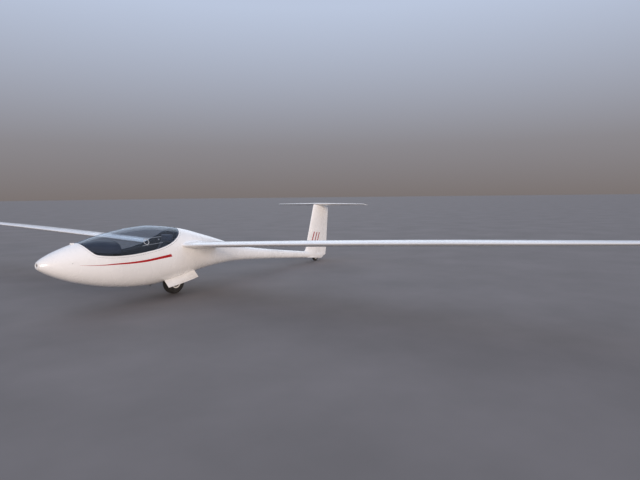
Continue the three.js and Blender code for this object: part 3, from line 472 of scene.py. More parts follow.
# Materials
def new_material(name):
    material = bpy.data.materials.new(name)
    material.use_nodes = True
    tree = material.node_tree
    return material, tree, tree.nodes["Principled BSDF"]


def link(tree, out, into):
    tree.links.new(out, into)


def coordinates(tree, scale=(1, 1, 1)):
    where = tree.nodes.new("ShaderNodeTexCoord")
    mapping = tree.nodes.new("ShaderNodeMapping")
    mapping.inputs["Scale"].default_value = scale
    link(tree, where.outputs["Object"], mapping.inputs["Vector"])
    return mapping.outputs["Vector"]


def noise(tree, scale, detail=3.0, stretch=(1, 1, 1)):
    node = tree.nodes.new("ShaderNodeTexNoise")
    set_values(node, Scale=scale, Detail=detail, Roughness=0.55)
    link(tree, coordinates(tree, stretch), node.inputs["Vector"])
    return node.outputs["Fac"]


def ramp(tree, value, stops):
    node = tree.nodes.new("ShaderNodeValToRGB")
    elements = node.color_ramp.elements
    while len(elements) < len(stops):
        elements.new(0.5)
    for element, (position, colour) in zip(elements, stops):
        element.position = position
        element.color = (*colour, 1) if len(colour) == 3 else colour
    link(tree, value, node.inputs["Fac"])
    return node.outputs["Color"]


def spread(tree, value, low, high, start=0.3, end=0.7):
    node = tree.nodes.new("ShaderNodeMapRange")
    set_values(node, From_Min=start, From_Max=end, To_Min=low, To_Max=high)
    link(tree, value, node.inputs["Value"])
    return node.outputs["Result"]


def mixed(tree, factor, one, other):
    node = tree.nodes.new("ShaderNodeMix")
    node.data_type = "RGBA"
    sockets = [s for s in node.inputs if s.enabled]
    for socket, value in zip(sockets, (factor, one, other)):
        if hasattr(value, "links"):
            link(tree, value, socket)
        elif isinstance(value, tuple):
            socket.default_value = (*value, 1)
        else:
            socket.default_value = value
    return [s for s in node.outputs if s.enabled][0]


def math_node(tree, operation, a, b=None):
    node = tree.nodes.new("ShaderNodeMath")
    node.operation = operation
    for socket, value in zip(node.inputs, (a, b)):
        if value is None:
            continue
        if hasattr(value, "links"):
            link(tree, value, socket)
        else:
            socket.default_value = value
    return node.outputs[0]


def bump(tree, shader, *layers):
    """Stacks bump layers of (height, distance in metres, strength)."""
    last = None
    for height, distance, strength in layers:
        node = tree.nodes.new("ShaderNodeBump")
        set_values(node, Distance=distance, Strength=strength)
        link(tree, height, node.inputs["Height"])
        if last is not None:
            link(tree, last, node.inputs["Normal"])
        last = node.outputs["Normal"]
    link(tree, last, shader.inputs["Normal"])


def set_values(node, **values):
    """Sets sockets by name, with _ for each blank."""
    for name, value in values.items():
        node.inputs[name.replace("_", " ")].default_value = value


def gelcoat_material(name="gelcoat", pale=(0.86, 0.86, 0.85), shade=(0.80, 0.80, 0.79), grime=True):
    material, tree, shader = new_material(name)
    colour = ramp(tree, noise(tree, 1.3, 4), [(0.35, shade), (0.6, pale)])
    if grime:
        position = tree.nodes.new("ShaderNodeTexCoord").outputs["Object"]
        split = tree.nodes.new("ShaderNodeSeparateXYZ")
        link(tree, position, split.inputs[0])
        low = spread(tree, split.outputs["Z"], 1.0, 0.0, 0.18, 0.42)
        behind = spread(tree, math_node(tree, "ABSOLUTE", math_node(tree, "ADD", split.outputs["X"], 0.35)),
                        1.0, 0.0, 0.2, 1.3)
        streaks = spread(tree, noise(tree, 9, 5, (0.35, 1.6, 1.0)), 0.0, 1.0, 0.42, 0.75)
        dirt = math_node(tree, "MULTIPLY", math_node(tree, "MULTIPLY", low, behind), streaks)
        colour = mixed(tree, math_node(tree, "MULTIPLY", dirt, 0.42), colour, (0.36, 0.31, 0.26))
    link(tree, colour, shader.inputs["Base Color"])
    link(tree, spread(tree, noise(tree, 6, 4), 0.2, 0.34), shader.inputs["Roughness"])
    set_values(shader, Coat_Weight=0.5, Coat_Roughness=0.06)
    bump(tree, shader, (noise(tree, 1.6, 1), 0.0015, 0.03))
    return material


def plain_material(name, colour, other, rough, grain, depth, strength, patch, metallic=0.0, coat=0.0,
                   stretch=(1, 1, 1)):
    """Moulded or painted finish: patches of two near colours, and a fine grain."""
    material, tree, shader = new_material(name)
    base = ramp(tree, noise(tree, patch, 4), [(0.35, colour), (0.68, other)])
    link(tree, base, shader.inputs["Base Color"])
    link(tree, spread(tree, noise(tree, patch * 2.3, 4, stretch), *rough), shader.inputs["Roughness"])
    set_values(shader, Metallic=metallic, Coat_Weight=coat)
    bump(tree, shader, (noise(tree, grain, 2, stretch), depth, strength))
    return material


def speckled_material(name, ground, dark, light):
    material, tree, shader = new_material(name)
    dots = tree.nodes.new("ShaderNodeTexVoronoi")
    dots.inputs["Scale"].default_value = 260
    link(tree, coordinates(tree), dots.inputs["Vector"])
    colour = ramp(tree, dots.outputs["Distance"], [(0.16, dark), (0.2, ground)])
    colour = mixed(tree, spread(tree, noise(tree, 340, 1), 0, 1, 0.66, 0.7), colour, light)
    link(tree, mixed(tree, spread(tree, noise(tree, 5, 3), 0, 0.25), colour, dark),
         shader.inputs["Base Color"])
    link(tree, spread(tree, noise(tree, 30, 3), 0.45, 0.62), shader.inputs["Roughness"])
    bump(tree, shader, (dots.outputs["Distance"], 0.0004, 0.2))
    return material


def woven_material(name, dark, light, pitch=330.0):
    material, tree, shader = new_material(name)
    threads = []
    for axis in ("X", "Y"):
        wave = tree.nodes.new("ShaderNodeTexWave")
        wave.wave_type, wave.bands_direction, wave.wave_profile = "BANDS", axis, "SIN"
        set_values(wave, Scale=pitch, Distortion=0.6, Detail=1)
        link(tree, coordinates(tree), wave.inputs["Vector"])
        threads.append(wave.outputs["Fac"])
    weave = math_node(tree, "MAXIMUM", *threads)
    colour = ramp(tree, weave, [(0.35, dark), (0.95, light)])
    colour = mixed(tree, spread(tree, noise(tree, 7, 4), 0, 0.5, 0.4, 0.75), colour, light)
    link(tree, colour, shader.inputs["Base Color"])
    link(tree, spread(tree, weave, 0.95, 0.75, 0, 1), shader.inputs["Roughness"])
    set_values(shader, Sheen_Weight=0.35, Sheen_Roughness=0.45)
    bump(tree, shader, (weave, 0.0006, 0.5), (noise(tree, 28, 3), 0.003, 0.35))
    return material


def leather_material(name, dark, light):
    material, tree, shader = new_material(name)
    cells = tree.nodes.new("ShaderNodeTexVoronoi")
    cells.feature = "DISTANCE_TO_EDGE"
    cells.inputs["Scale"].default_value = 210
    link(tree, coordinates(tree), cells.inputs["Vector"])
    link(tree, ramp(tree, noise(tree, 6, 4), [(0.35, dark), (0.7, light)]), shader.inputs["Base Color"])
    link(tree, spread(tree, noise(tree, 18, 4), 0.55, 0.72), shader.inputs["Roughness"])
    set_values(shader, Sheen_Weight=0.15)
    bump(tree, shader, (spread(tree, cells.outputs["Distance"], 0, 1, 0, 0.25), 0.0005, 0.45),
         (noise(tree, 16, 3), 0.004, 0.25))
    return material


def glass_material(name, tint, haze):
    """Thin acrylic: what is behind it, tinted, under a clear mirror that grows at a low angle."""
    material, tree, shader = new_material(name)
    out = tree.nodes["Material Output"]
    through = tree.nodes.new("ShaderNodeBsdfTransparent")
    set_values(through, Color=(*tint, 1))
    gloss = tree.nodes.new("ShaderNodeBsdfGlossy")
    set_values(gloss, Color=(*haze, 1), Roughness=0.03)
    rim = tree.nodes.new("ShaderNodeLayerWeight")
    set_values(rim, Blend=0.5)
    steep = math_node(tree, "POWER", rim.outputs["Facing"], 4.0)
    mix = tree.nodes.new("ShaderNodeMixShader")
    link(tree, spread(tree, steep, 0.018, 0.5, 0, 1), mix.inputs[0])
    link(tree, through.outputs[0], mix.inputs[1])
    link(tree, gloss.outputs[0], mix.inputs[2])
    link(tree, mix.outputs[0], out.inputs["Surface"])
    tree.nodes.remove(shader)
    return material


def rubber_material(name):
    material, tree, shader = new_material(name)
    colour = ramp(tree, noise(tree, 22, 5), [(0.35, (0.009, 0.009, 0.009)), (0.75, (0.022, 0.0215, 0.021))])
    dust = spread(tree, noise(tree, 60, 5), 0, 0.22, 0.48, 0.85)
    colour = mixed(tree, dust, colour, (0.12, 0.105, 0.09))
    link(tree, colour, shader.inputs["Base Color"])
    link(tree, spread(tree, noise(tree, 40, 4), 0.7, 0.92), shader.inputs["Roughness"])
    bump(tree, shader, (noise(tree, 700, 2), 0.0003, 0.4), (noise(tree, 90, 4), 0.0008, 0.2))
    return material


# Plain finishes: name, two colours, roughness range, grain scale, depth in metres and strength, patch scale
PLAIN = {
    "well": ("well_paint", (0.52, 0.51, 0.49), (0.40, 0.37, 0.33), (0.5, 0.75), 120, 0.0008, 0.3, 9),
    "red": ("red_gelcoat", (0.42, 0.006, 0.008), (0.36, 0.005, 0.007), (0.2, 0.32), 260, 0.0002, 0.1, 3),
    "rim": ("rim_paint", (0.72, 0.72, 0.71), (0.62, 0.61, 0.59), (0.35, 0.55), 300, 0.0003, 0.2, 18),
    # The disc row is near black: painted shade for the recessed centre of the wheel.
    "disc": ("wheel_disc_painted_shade", (0.085, 0.08, 0.078), (0.13, 0.125, 0.12), (0.4, 0.6), 300, 0.0003, 0.2, 22),
    "alloy": ("brushed_alloy", (0.62, 0.63, 0.64), (0.5, 0.51, 0.52), (0.28, 0.48), 500, 0.0002, 0.3, 20),
    "steel": ("worn_steel", (0.33, 0.33, 0.34), (0.22, 0.21, 0.2), (0.35, 0.6), 420, 0.0003, 0.35, 35),
    "fork": ("fork_paint", (0.10, 0.105, 0.11), (0.16, 0.16, 0.165), (0.35, 0.5), 300, 0.0003, 0.25, 30),
    "clear_edge": ("clear_edge", (0.42, 0.44, 0.46), (0.34, 0.36, 0.38), (0.2, 0.35), 300, 0.0002, 0.1, 20),
    "black": ("black_plastic", (0.015, 0.015, 0.016), (0.03, 0.03, 0.031), (0.45, 0.65), 1100, 0.0002,
              0.35, 25),
    "panel": ("panel_paint", (0.02, 0.021, 0.023), (0.032, 0.033, 0.035), (0.55, 0.75), 1600, 0.0003,
              0.4, 20),
    "blue": ("blue_grip", (0.006, 0.05, 0.26), (0.01, 0.075, 0.33), (0.35, 0.5), 900, 0.0003, 0.3, 40),
    "dial_white": ("dial_marks", (0.75, 0.75, 0.72), (0.66, 0.66, 0.63), (0.5, 0.6), 900, 0.0001, 0.1, 40),
}
EXTRA = {"red": {"coat": 0.5}, "rim": {"coat": 0.2}, "fork": {"coat": 0.25}, "steel": {"metallic": 1.0},
         "alloy": {"metallic": 1.0, "stretch": (1, 12, 1)}}
MAT = {key: plain_material(*row, **EXTRA.get(key, {})) for key, row in PLAIN.items()}
MAT |= {
    "gelcoat": gelcoat_material(),
    "trim_white": gelcoat_material("trim_white", (0.84, 0.84, 0.83), (0.79, 0.79, 0.78), grime=False),
    "interior": speckled_material("interior_speckle", (0.052, 0.058, 0.072), (0.026, 0.029, 0.038),
                                  (0.16, 0.17, 0.2)),
    "navy": leather_material("navy_cover", (0.010, 0.014, 0.030), (0.020, 0.027, 0.050)),
    "cushion": woven_material("cushion_weave", (0.012, 0.018, 0.034), (0.035, 0.048, 0.08)),
    "webbing": woven_material("webbing_weave", (0.02, 0.022, 0.028), (0.06, 0.065, 0.08), 700.0),
    "glass": glass_material("canopy_acrylic", (0.86, 0.885, 0.91), (0.9, 0.95, 1.0)),
    "rubber": rubber_material("tyre_rubber"),
}


def place(body, name, rides, slot, materials, replaces=(), matrix=AIRFRAME, sharp=32, bevel=0.0,
          weighted=True):
    """Names a body, sets it into the row frame, smooths it and hangs it on a body of the frame."""
    body.name = body.data.name = name
    body.data.transform(matrix)
    paints = np.zeros(len(body.data.polygons), np.int32)
    body.data.polygons.foreach_get("material_index", paints)
    body.data.materials.clear()
    for key in [materials] if isinstance(materials, str) else materials:
        body.data.materials.append(MAT[key])
    body.data.polygons.foreach_set("material_index", paints)
    body.data.update()
    body.data.polygons.foreach_set("use_smooth", [True] * len(body.data.polygons))
    modified(body, "TRIANGULATE", min_vertices=5)
    if bevel:
        modified(body, "BEVEL", width=bevel, segments=2, limit_method="ANGLE", angle_limit=math.radians(40))
    body.data.set_sharp_from_angle(angle=math.radians(sharp))
    if weighted:
        modified(body, "WEIGHTED_NORMAL", keep_sharp=True)
    body.data.name = name
    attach(body, rides)
    if replaces:
        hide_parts(*replaces)
    return body


def place_pair(body, name, slot, materials, replaces=(), **options):
    """Places a fixed body and its mirror image, as name_left and name_right."""
    for side, one in (("right", mirrored(body)), ("left", body)):
        place(one, f"{name}_{side}", "root", slot, materials, [f"{node}_{side}" for node in replaces],
              **options)


# Fuselage shell with wing-root fairings, boom, tail cone and fin
def ring_normals(ring):
    """Directions out of a section that lies along x."""
    tangent = np.roll(ring, -1, 0) - np.roll(ring, 1, 0)
    normal = np.stack([tangent[:, 2], np.zeros(len(ring)), -tangent[:, 0]], 1)
    normal /= np.maximum(np.linalg.norm(normal, axis=1), 1e-9)[:, None]
    flip = np.sign(((ring - ring.mean(axis=0)) * normal).sum(1))
    normal *= np.where(flip == 0, 1, flip)[:, None]
    normal[0] = normal[-1] = (-1, 0, 0)
    return normal


def root_fairing():
    """Wing root section carried inwards to the skin, flaring into it."""
    base = wing_ring(WING_ROOT_Y)
    normal = ring_normals(base)
    inner = np.array([half_width(p[0], p[2]) for p in base]) - 22
    rings = []
    for t in np.concatenate([np.linspace(0, 0.5, 5)[:-1], np.linspace(0.5, 1, 12)]):
        flare = 52 * (1 - math.sqrt(max(0.0, 1 - max(0.0, (t - 0.25) / 0.75) ** 2.4)))
        ring = base + normal * flare
        ring[:, 1] = WING_ROOT_Y + (inner - WING_ROOT_Y) * t
        rings.append(ring)
    return loft(rings)


def fin_loft():
    rings = []
    levels = [560, 640, 690, 700, 712, 726, 742, 760, 800, *range(860, 1700, 70), 1715, 1735, 1745]
    for z in levels:
        lead, trail, thick = row_at(FIN_SECTIONS, z)
        u = min(1.0, max(0.0, (770 - z) / 84))
        flare = 1 - math.sqrt(1 - u ** 2.2)
        lead += 46 * flare
        ring = aerofoil_ring((lead, 0, z), lead - trail, thick, edge=FIN_EDGE, upright=True)
        aft = (lead - ring[:, 0]) / (lead - trail)
        ring[:, 1] *= 1 + 26 * flare / thick * np.clip((0.62 - aft) / 0.3, 0, 1)
        rings.append(ring)
    return loft(rings)


def tail_parts():
    front, rear = TAIL_CHAMFER
    lowest, behind = front[1] - 100, (rear[0] - 165, rear[1] + 60)
    below = lambda: prism([(front[0], lowest), front, rear, behind, (behind[0], lowest)], 1, -BEYOND, BEYOND)
    fairing = root_fairing()
    shell = add(hull(NOSE_FACE_X - SEAT_GAP, TAIL_CONE_END_X), fin_loft(), mirrored(fairing), fairing)
    shell = cut(shell, below())
    rudder, shell = split_at_hinge(shell, (RUDDER["from"][0], 0, RUDDER["from"][1]),
                                   (RUDDER["to"][0], 0, RUDDER["to"][1]), RUDDER["r0"], RUDDER["r1"], True,
                                   RUDDER["ribs"])
    return cut(rudder, below()), shell


def tail_wheel_centre():
    c, s = math.cos(STANCE), math.sin(STANCE)
    return TAIL_X * c + TAIL_R * s, TAIL_R * c - TAIL_X * s


rudder, shell = tail_parts()
tx, tz = tail_wheel_centre()
tail_room, tail_half = TAIL_WELL["radius"], TAIL_WELL["half"]
inside = lambda depth, paint=1: hull(CAVITY["front"], CAVITY["rear"], depth, paint)
cavity = common(inside(SHELL), prism(CAVITY_OUTLINE, 1, -BEYOND, BEYOND, 1))
rim = common(cut(hull(CANOPY["front"], CANOPY["rear"]), inside(CANOPY["rim_depth"])),
             canopy_region(-FINE_GAP - CANOPY["rim_band"], 1))
pocket = PIN["ear"] + SEAT_GAP
shell = cut(shell, cavity)
shell = add(shell, rim)
shell = cut(
    shell,
    canopy_region(-FINE_GAP, 1),
    prism(WELL_OUTLINE, 1, -WELL["half"], WELL["half"], 2),
    block((PIN["x"] - 16, PIN["front"] + SEAT_GAP), (-pocket, pocket),
          (PIN["z"] - PIN["drop"] - SEAT_GAP, 800)),
    # The nose hole's bore takes the dark interior paint so that it reads dark: painted shade down the hole.
    rod((NOSE_FACE_X + 5, 0, NOSE_AXIS_Z), (CAVITY["front"] - 30, 0, NOSE_AXIS_Z), NOSE_HOLE_RADIUS, paint=1),
    rod((tx, -tail_half, tz), (tx, tail_half, tz), tail_room, sides=64, paint=2),
    block((tx - tail_room, tx + tail_room), (-tail_half, tail_half), (TAIL_WELL["bottom"], tz), 2),
)
place(shell, "fuselage_shell", "root", "gelcoat", ["gelcoat", "interior", "well"],
      ["fuselage_pod", "tail_boom", "fin"])
place(rudder, "rudder_surface", "rudder", "gelcoat", "gelcoat", ["rudder"])

nose_profile = catmull([(16, 2093), (16, 2088), (30, 2087.8), (44.5, 2087.8), (43, 2091), (39, 2094.4),
                        (33, 2097), (26, 2098.2), (20, 2097.6), (17, 2096), (16, 2093)], 6)
nose = lathe([tuple(p) for p in nose_profile[:-1]], 64, (0, 0, NOSE_AXIS_Z), "x")
place(nose, "nose_vent_ring", "root", "gelcoat", "trim_white", ["nose_ring"], sharp=60)


# Canopy
def canopy_layer(depth, paint=0):
    outer = hull(CANOPY["front"], CANOPY["rear"])
    return cut(outer, hull(CANOPY["front"] + 50, CANOPY["rear"] - 15, depth, paint))


def window_hole(grow):
    xs, zs = zip(*VENT_WINDOW)
    middle = ((max(xs) + min(xs)) / 2, (max(zs) + min(zs)) / 2)
    outline = [(x + math.copysign(grow, x - middle[0]), z + math.copysign(grow, z - middle[1]))
               for x, z in VENT_WINDOW]
    return prism(outline, 1, 0, BEYOND)


px, pz = PIN["x"], PIN["z"]
band = cut(canopy_region(0), canopy_region(CANOPY["band"], 1))
canopy_frame = common(canopy_layer(CANOPY["depth"], 1), band)
canopy_frame = add(canopy_frame, block((px - 28, px), (-PIN["half"], PIN["half"]), (pz - 16, pz - 2)),
                   rod((px, -PIN["half"], pz), (px, PIN["half"], pz), PIN["knuckle"]))
canopy_frame = cut(canopy_frame, rod((px, -20, pz), (px, 20, pz), PIN["radius"] + SEAT_GAP))
pane = common(canopy_layer(CANOPY["glass"]), canopy_region(CANOPY["band"] + SEAT_GAP))
window = common(copied(pane), window_hole(0))
pane = cut(pane, window_hole(SEAT_GAP))
place(canopy_frame, "canopy_frame_band", "canopy", "gelcoat", ["trim_white", "interior"], ["canopy_frame"])
place(pane, "canopy_pane", "canopy", "canopy_glass", "glass", ["canopy_glass"])
place(window, "sliding_window", "canopy", "canopy_glass", "glass", ["vent_window"])

ear = block((px - 5, PIN["front"]), (PIN["half"] + 0.4, PIN["ear"]), (pz - 20, pz + 4))
hinge = add(ear, mirrored(ear), block((px + 8, PIN["front"]), (-PIN["ear"], PIN["ear"]),
                                      (pz - PIN["drop"], pz - 14)),
            rod((px, -PIN["ear"], pz), (px, PIN["ear"], pz), PIN["radius"]))
place(hinge, "canopy_pivot", "root", "gelcoat", "trim_white", ["canopy_hinge"], bevel=0.0008)


# Wings
def whole_wing():
    ys = [WING_ROOT_Y + SEAT_GAP, 400, 500, 700, *range(900, 4300, 200), 4300, *range(4400, 7300, 200),
          7330, 7400]
    rings = [wing_ring(y) for y in ys]
    lead, chord, thick = wing_section(WING_TIP_Y)
    for y, back, length, thin in WING_TIP_CAP:
        rise = (y - WING_TIP_Y) * WING_SLOPE * 0.7
        rings.append(aerofoil_ring((lead[0] - back, y, lead[2] + rise), chord * length, thick * thin,
                                   WING_INCIDENCE, WING_CAMBER, WING_EDGE))
    return loft(rings)


def airbrake_parts(wing):
    a = AIRBRAKE
    start = Vector(wing_point(a["from"], a["at"], 1))
    end = Vector(wing_point(a["to"], a["at"], 1))
    length = (end - start).length
    along = (end - start).normalized()
    back = Vector((1, 0, 0)).cross(along).cross(along).normalized()
    up = along.cross(back)
    if up.z < 0:
        up.negate()
    side = along.cross(up)
    matrix = Matrix.Translation(start) @ Matrix((along, side, up)).transposed().to_4x4()
    local = lambda xs, ys, zs, paint=0: moved(block(xs, ys, zs, paint), matrix)
    recess = local((-FINE_GAP, length + FINE_GAP), (-a["half"] - FINE_GAP, a["half"] + FINE_GAP),
                   (-a["cap"] - SEAT_GAP, 30), 1)
    slot_room = local((0, length), (-a["slot"], a["slot"]), (-a["depth"], 0), 1)
    lid = common(copied(wing), local((0, length), (-a["half"], a["half"]), (-a["cap"], 30)))
    lid = cut(lid, local((3, length - 3), (-a["half"] + 2, a["half"] - 2), (-40, -1.5)))

    def blade(low, high, top):
        """Blade plate with lightening holes."""
        plate = local((5, length - 5), (low, high), (SEAT_GAP - a["depth"], top), 1)
        holes = [moved(rod((x, low - 2, -a["depth"] / 2 - 3), (x, high + 2, -a["depth"] / 2 - 3), 12,
                           sides=28), matrix) for x in np.linspace(70, length - 70, 17)]
        return cut(plate, *holes)

    upper = joined(lid, blade(a["near"], a["far"], -1.5))
    lower = joined(blade(-a["far"], -a["near"], -a["cap"] - 3),
                   local((5, length - 5), (-a["far"], -a["far"] + 7.5), (-a["cap"] - 4.2, -a["cap"] - 3), 1))
    return recess, slot_room, upper, lower


wing = whole_wing()
recess, slot_room, blade_upper, blade_lower = airbrake_parts(wing)
aileron, wing = split_at_hinge(
    wing, wing_point(AILERON["from"], AILERON["at"]), wing_point(AILERON["to"], AILERON["at"]),
    wing_half_depth(AILERON["from"], AILERON["at"]) + SEAT_GAP,
    wing_half_depth(AILERON["to"], AILERON["at"]) + SEAT_GAP, False, AILERON["ribs"])
wing = cut(wing, recess, slot_room)
for side, hand in (("left", copied), ("right", mirrored)):
    place(hand(wing), f"wing_panel_{side}", "root", "gelcoat", ["gelcoat", "well"], [f"wing_{side}"])
    place(hand(aileron), f"aileron_surface_{side}", f"aileron_{side}", "gelcoat", "gelcoat",
          [f"aileron_{side}"])
    place(hand(blade_upper), f"airbrake_cap_{side}", f"airbrake_upper_{side}", "gelcoat",
          ["gelcoat", "alloy"], [f"airbrake_upper_{side}"])
    place(hand(blade_lower), f"airbrake_blade_{side}", f"airbrake_lower_{side}", "aluminium",
          ["gelcoat", "alloy"], [f"airbrake_lower_{side}"])
for body in (wing, aileron, blade_upper, blade_lower):
    drop(body)


# Tailplane
def tailplane_parts():
    e = ELEVATOR
    ys = [0, 60, 130, 200, 290, 380, 490, 600, 710, 820, 940, 1062, 1076, 1090, 1098, 1106, 1112, 1117, 1120]
    rings = []
    for y in ys:
        lead, trail, thick = (np.interp(y, TAILPLANE_SECTIONS[:, 0], TAILPLANE_SECTIONS[:, c])
                              for c in (1, 2, 3))
        rings.append(aerofoil_ring((lead, y, TAILPLANE_Z), lead - trail, thick, edge=2))
    other = [ring * (1, -1, 1) for ring in rings[:0:-1]]
    whole = loft([*other, *rings])
    height = (TAILPLANE_Z - 100, TAILPLANE_Z + 100)
    tip = common(copied(whole), block((e["x"] - BEYOND, e["x"]), (e["end"] - 5, e["end"] + 100), height))
    moving, fixed = split_at_hinge(whole, (e["x"], e["notch"], TAILPLANE_Z), (e["x"], e["end"], TAILPLANE_Z),
                                   e["r0"], e["r1"], False, e["ribs"])
    panel = add(moving, tip)
    torque = rod((e["x"], -e["notch"] - 5, TAILPLANE_Z), (e["x"], e["notch"] + 5, TAILPLANE_Z), e["tube"])
    fixed = common(fixed, mirrored(fixed))
    fixed = cut(fixed, block((e["x"] - BEYOND, e["x"] + e["tube"] + CANOPY_GAP),
                             (-e["notch"] - 1, e["notch"] + 1), height))
    for side in (1, -1):
        ends = sorted((side * (e["end"] - 4), side * (e["end"] + 100)))
        fixed = cut(fixed, block((e["x"] - BEYOND, e["x"] + e["r1"] + FINE_GAP), ends, height))
    return fixed, add(panel, mirrored(panel), torque)


stabilizer, elevator = tailplane_parts()
place(stabilizer, "stabilizer_surface", "root", "gelcoat", "gelcoat", ["stabilizer"])
place(elevator, "elevator_surface", "elevator", "gelcoat", "gelcoat", ["elevator"])


# Wheels
def wheel(name, rides, x, radius, tyre_profile, rim_profile, disc, segments):
    centre = (x, 0, radius)
    both = lambda profile: [*profile, *[(r, -h) for r, h in reversed(profile)]]
    tyre = lathe(both(tyre_profile), segments, centre)
    place(tyre, f"{name}_tyre_tread", rides, "tyre", "rubber", [f"{name}_tyre"], GROUND, sharp=40)
    rim = lathe(both(rim_profile), segments, centre)
    # Rim faces inside the disc radius take the near-black disc colour, painted shade in the recess.
    for face in rim.data.polygons:
        reach = math.hypot(face.center.x - x, face.center.z - radius)
        face.material_index = int(reach < disc)
    place(rim, f"{name}_rim_halves", rides, "aluminium", ["rim", "disc"], [f"{name}_rim"], GROUND, sharp=40)


MAIN_TYRE = [(79, 37), (81, 43), (86, 48.6), (92, 52.4), (99, 56.2), (105, 59.4), (107, 60.6), (109, 60.2),
             (116, 61.9), (126, 62.9), (138, 62.8), (148, 61), (150, 61.6), (152, 60.3), (160, 56.6),
             (166, 51.8), (170, 46.5), (172.4, 41), (173.2, 38), (169.6, 37), (169.6, 32), (174.1, 31),
             (174.8, 20), (170.8, 19), (170.8, 14), (174.9, 13), (175, 4), (170.9, 3), (170.9, 0.6)]
MAIN_RIM = [(13, 50), (26, 50), (28, 48), (28, 30), (33, 22), (44, 16), (58, 15), (66, 18), (69.5, 26),
            (71, 44), (72, 53), (75, 57), (87, 58), (91.2, 57), (92, 55), (89, 53), (84, 51.4), (78.6, 47),
            (78.2, 38)]
wheel("main", "main_wheel", 0, MAIN_R, MAIN_TYRE, MAIN_RIM, 72, 120)
TAIL_TYRE = [(52, 17), (55, 21), (60, 23.6), (68, 25), (78, 25.2), (87, 24), (93, 21.4), (97, 17.4),
             (99.4, 11.5), (97.6, 10.6), (97.6, 8), (99.9, 7), (100, 1.6), (98, 0.9)]
TAIL_RIM = [(8.5, 24), (16, 24), (18, 22), (18, 12), (22, 8.5), (42, 8.5), (46, 12), (46, 24), (48, 26),
            (55, 26), (57, 24.8), (56, 23.8), (52, 21.5), (51.2, 18)]
wheel("tail", "tail_wheel", TAIL_X, TAIL_R, TAIL_TYRE, TAIL_RIM, 43, 88)

# Landing gear
WHEEL_X, WHEEL_Z = MAIN_R * math.sin(STANCE), MAIN_R * math.cos(STANCE)
LEG_Y, FORK_X, FORK_Z = 85, -140, 408.7


def bolt_ring(centre, radius, count, size, y0, y1, turn=0.0, sides=6):
    bolts = []
    for a in round_angles(count):
        x, z = centre[0] + radius * math.cos(a + turn), centre[1] + radius * math.sin(a + turn)
        bolts.append(rod((x, y0, z), (x, y1, z), size, sides=sides))
    return bolts


def fork_side():
    foot, top = Vector((WHEEL_X, LEG_Y, WHEEL_Z)), Vector((FORK_X, LEG_Y, FORK_Z))
    knee = Vector((40, LEG_Y, 404))
    leg = rod(foot, top, 11, sides=32)
    brace = rod(foot + Vector((-8, 0, 8)), knee, 8, sides=28)
    gusset = prism([(WHEEL_X - 4, WHEEL_Z + 12), (WHEEL_X - 46, WHEEL_Z + 66), (WHEEL_X - 4, WHEEL_Z + 78)],
                   1, LEG_Y - 2.5, LEG_Y + 2.5)
    eye = lathe([(12.6, -11), (18.6, -11), (20, -9.6), (20, 9.6), (18.6, 11), (12.6, 11)], 40, tuple(foot))
    plug = rod(foot + Vector((0, 1, 0)), foot + Vector((0, 13, 0)), 13.5, sides=40)
    nut = rod(foot + Vector((0, 12, 0)), foot + Vector((0, 22, 0)), 10.5, sides=6)
    collar = rod(top.lerp(foot, 0.08), top.lerp(foot, 0.14), 14, sides=32)
    lug = block((25, 55), (LEG_Y - 12, LEG_Y + 12), (396, WELL["roof"] - 0.3))
    bearing = block((FORK_X - 20, FORK_X + 20), (LEG_Y + 4, LEG_Y + 20), (390, WELL["roof"] - 0.3))
    return add(leg, brace, gusset, eye, plug, nut, collar, lug, bearing)


fork = add(fork_side(), reflected(fork_side()),
           rod((FORK_X, -110, FORK_Z), (FORK_X, 110, FORK_Z), 11, sides=32),
           rod((-58, -LEG_Y, 289), (-58, LEG_Y, 289), 8, sides=24))
place(fork, "fork_weldment", "root", "steel", "fork", ["gear_fork"], bevel=0.0006)


def brake_and_hub():
    """Hub flange with lightening holes and bolts on the port side, brake drum on the other."""
    centre = (0, MAIN_R)
    bore = 12.9
    flange = lathe([(bore, 17), (66, 17), (67.4, 19), (67.4, 22), (58, 23.5), (34, 25), (28, 30), (28, 50.6),
                    (bore, 50.6)], 96, (0, 0, MAIN_R))
    flange = cut(flange, *bolt_ring(centre, 45, 6, 7.5, 10, 30, 0.52, 24))
    bolts = bolt_ring(centre, 58, 6, 3.8, 21.5, 27.2)
    drum = lathe([(bore, -17), (63, -17), (65, -19), (65, -42), (62, -44), (bore, -44)], 96, (0, 0, MAIN_R))
    fins = bolt_ring(centre, 36, 8, 4.5, -47, -42, sides=20)
    return joined(flange, drum, *bolts, *fins)


place(brake_and_hub(), "main_hub", "main_wheel", "steel", "steel", matrix=GROUND, bevel=0.0005)


def rim_bolts(centre, radius, count, size, low, high):
    return [bolt for y0, y1 in ((low, high), (-high, -low))
            for bolt in bolt_ring(centre, radius, count, size, y0, y1)]


bolts = rim_bolts((0, MAIN_R), 62, 8, 3.4, 15, 21)
valve = rod((0, 34, MAIN_R - 70), (3, 55, MAIN_R - 64), 2.6, 2.1, sides=20)
place(joined(*bolts, valve), "main_rim_bolts", "main_wheel", "steel", "steel", matrix=GROUND, bevel=0.0004)
bolts = rim_bolts((TAIL_X, TAIL_R), 32, 5, 2.6, 7, 12.5)
place(joined(*bolts), "tail_rim_bolts", "tail_wheel", "steel", "steel", matrix=GROUND, bevel=0.0003)


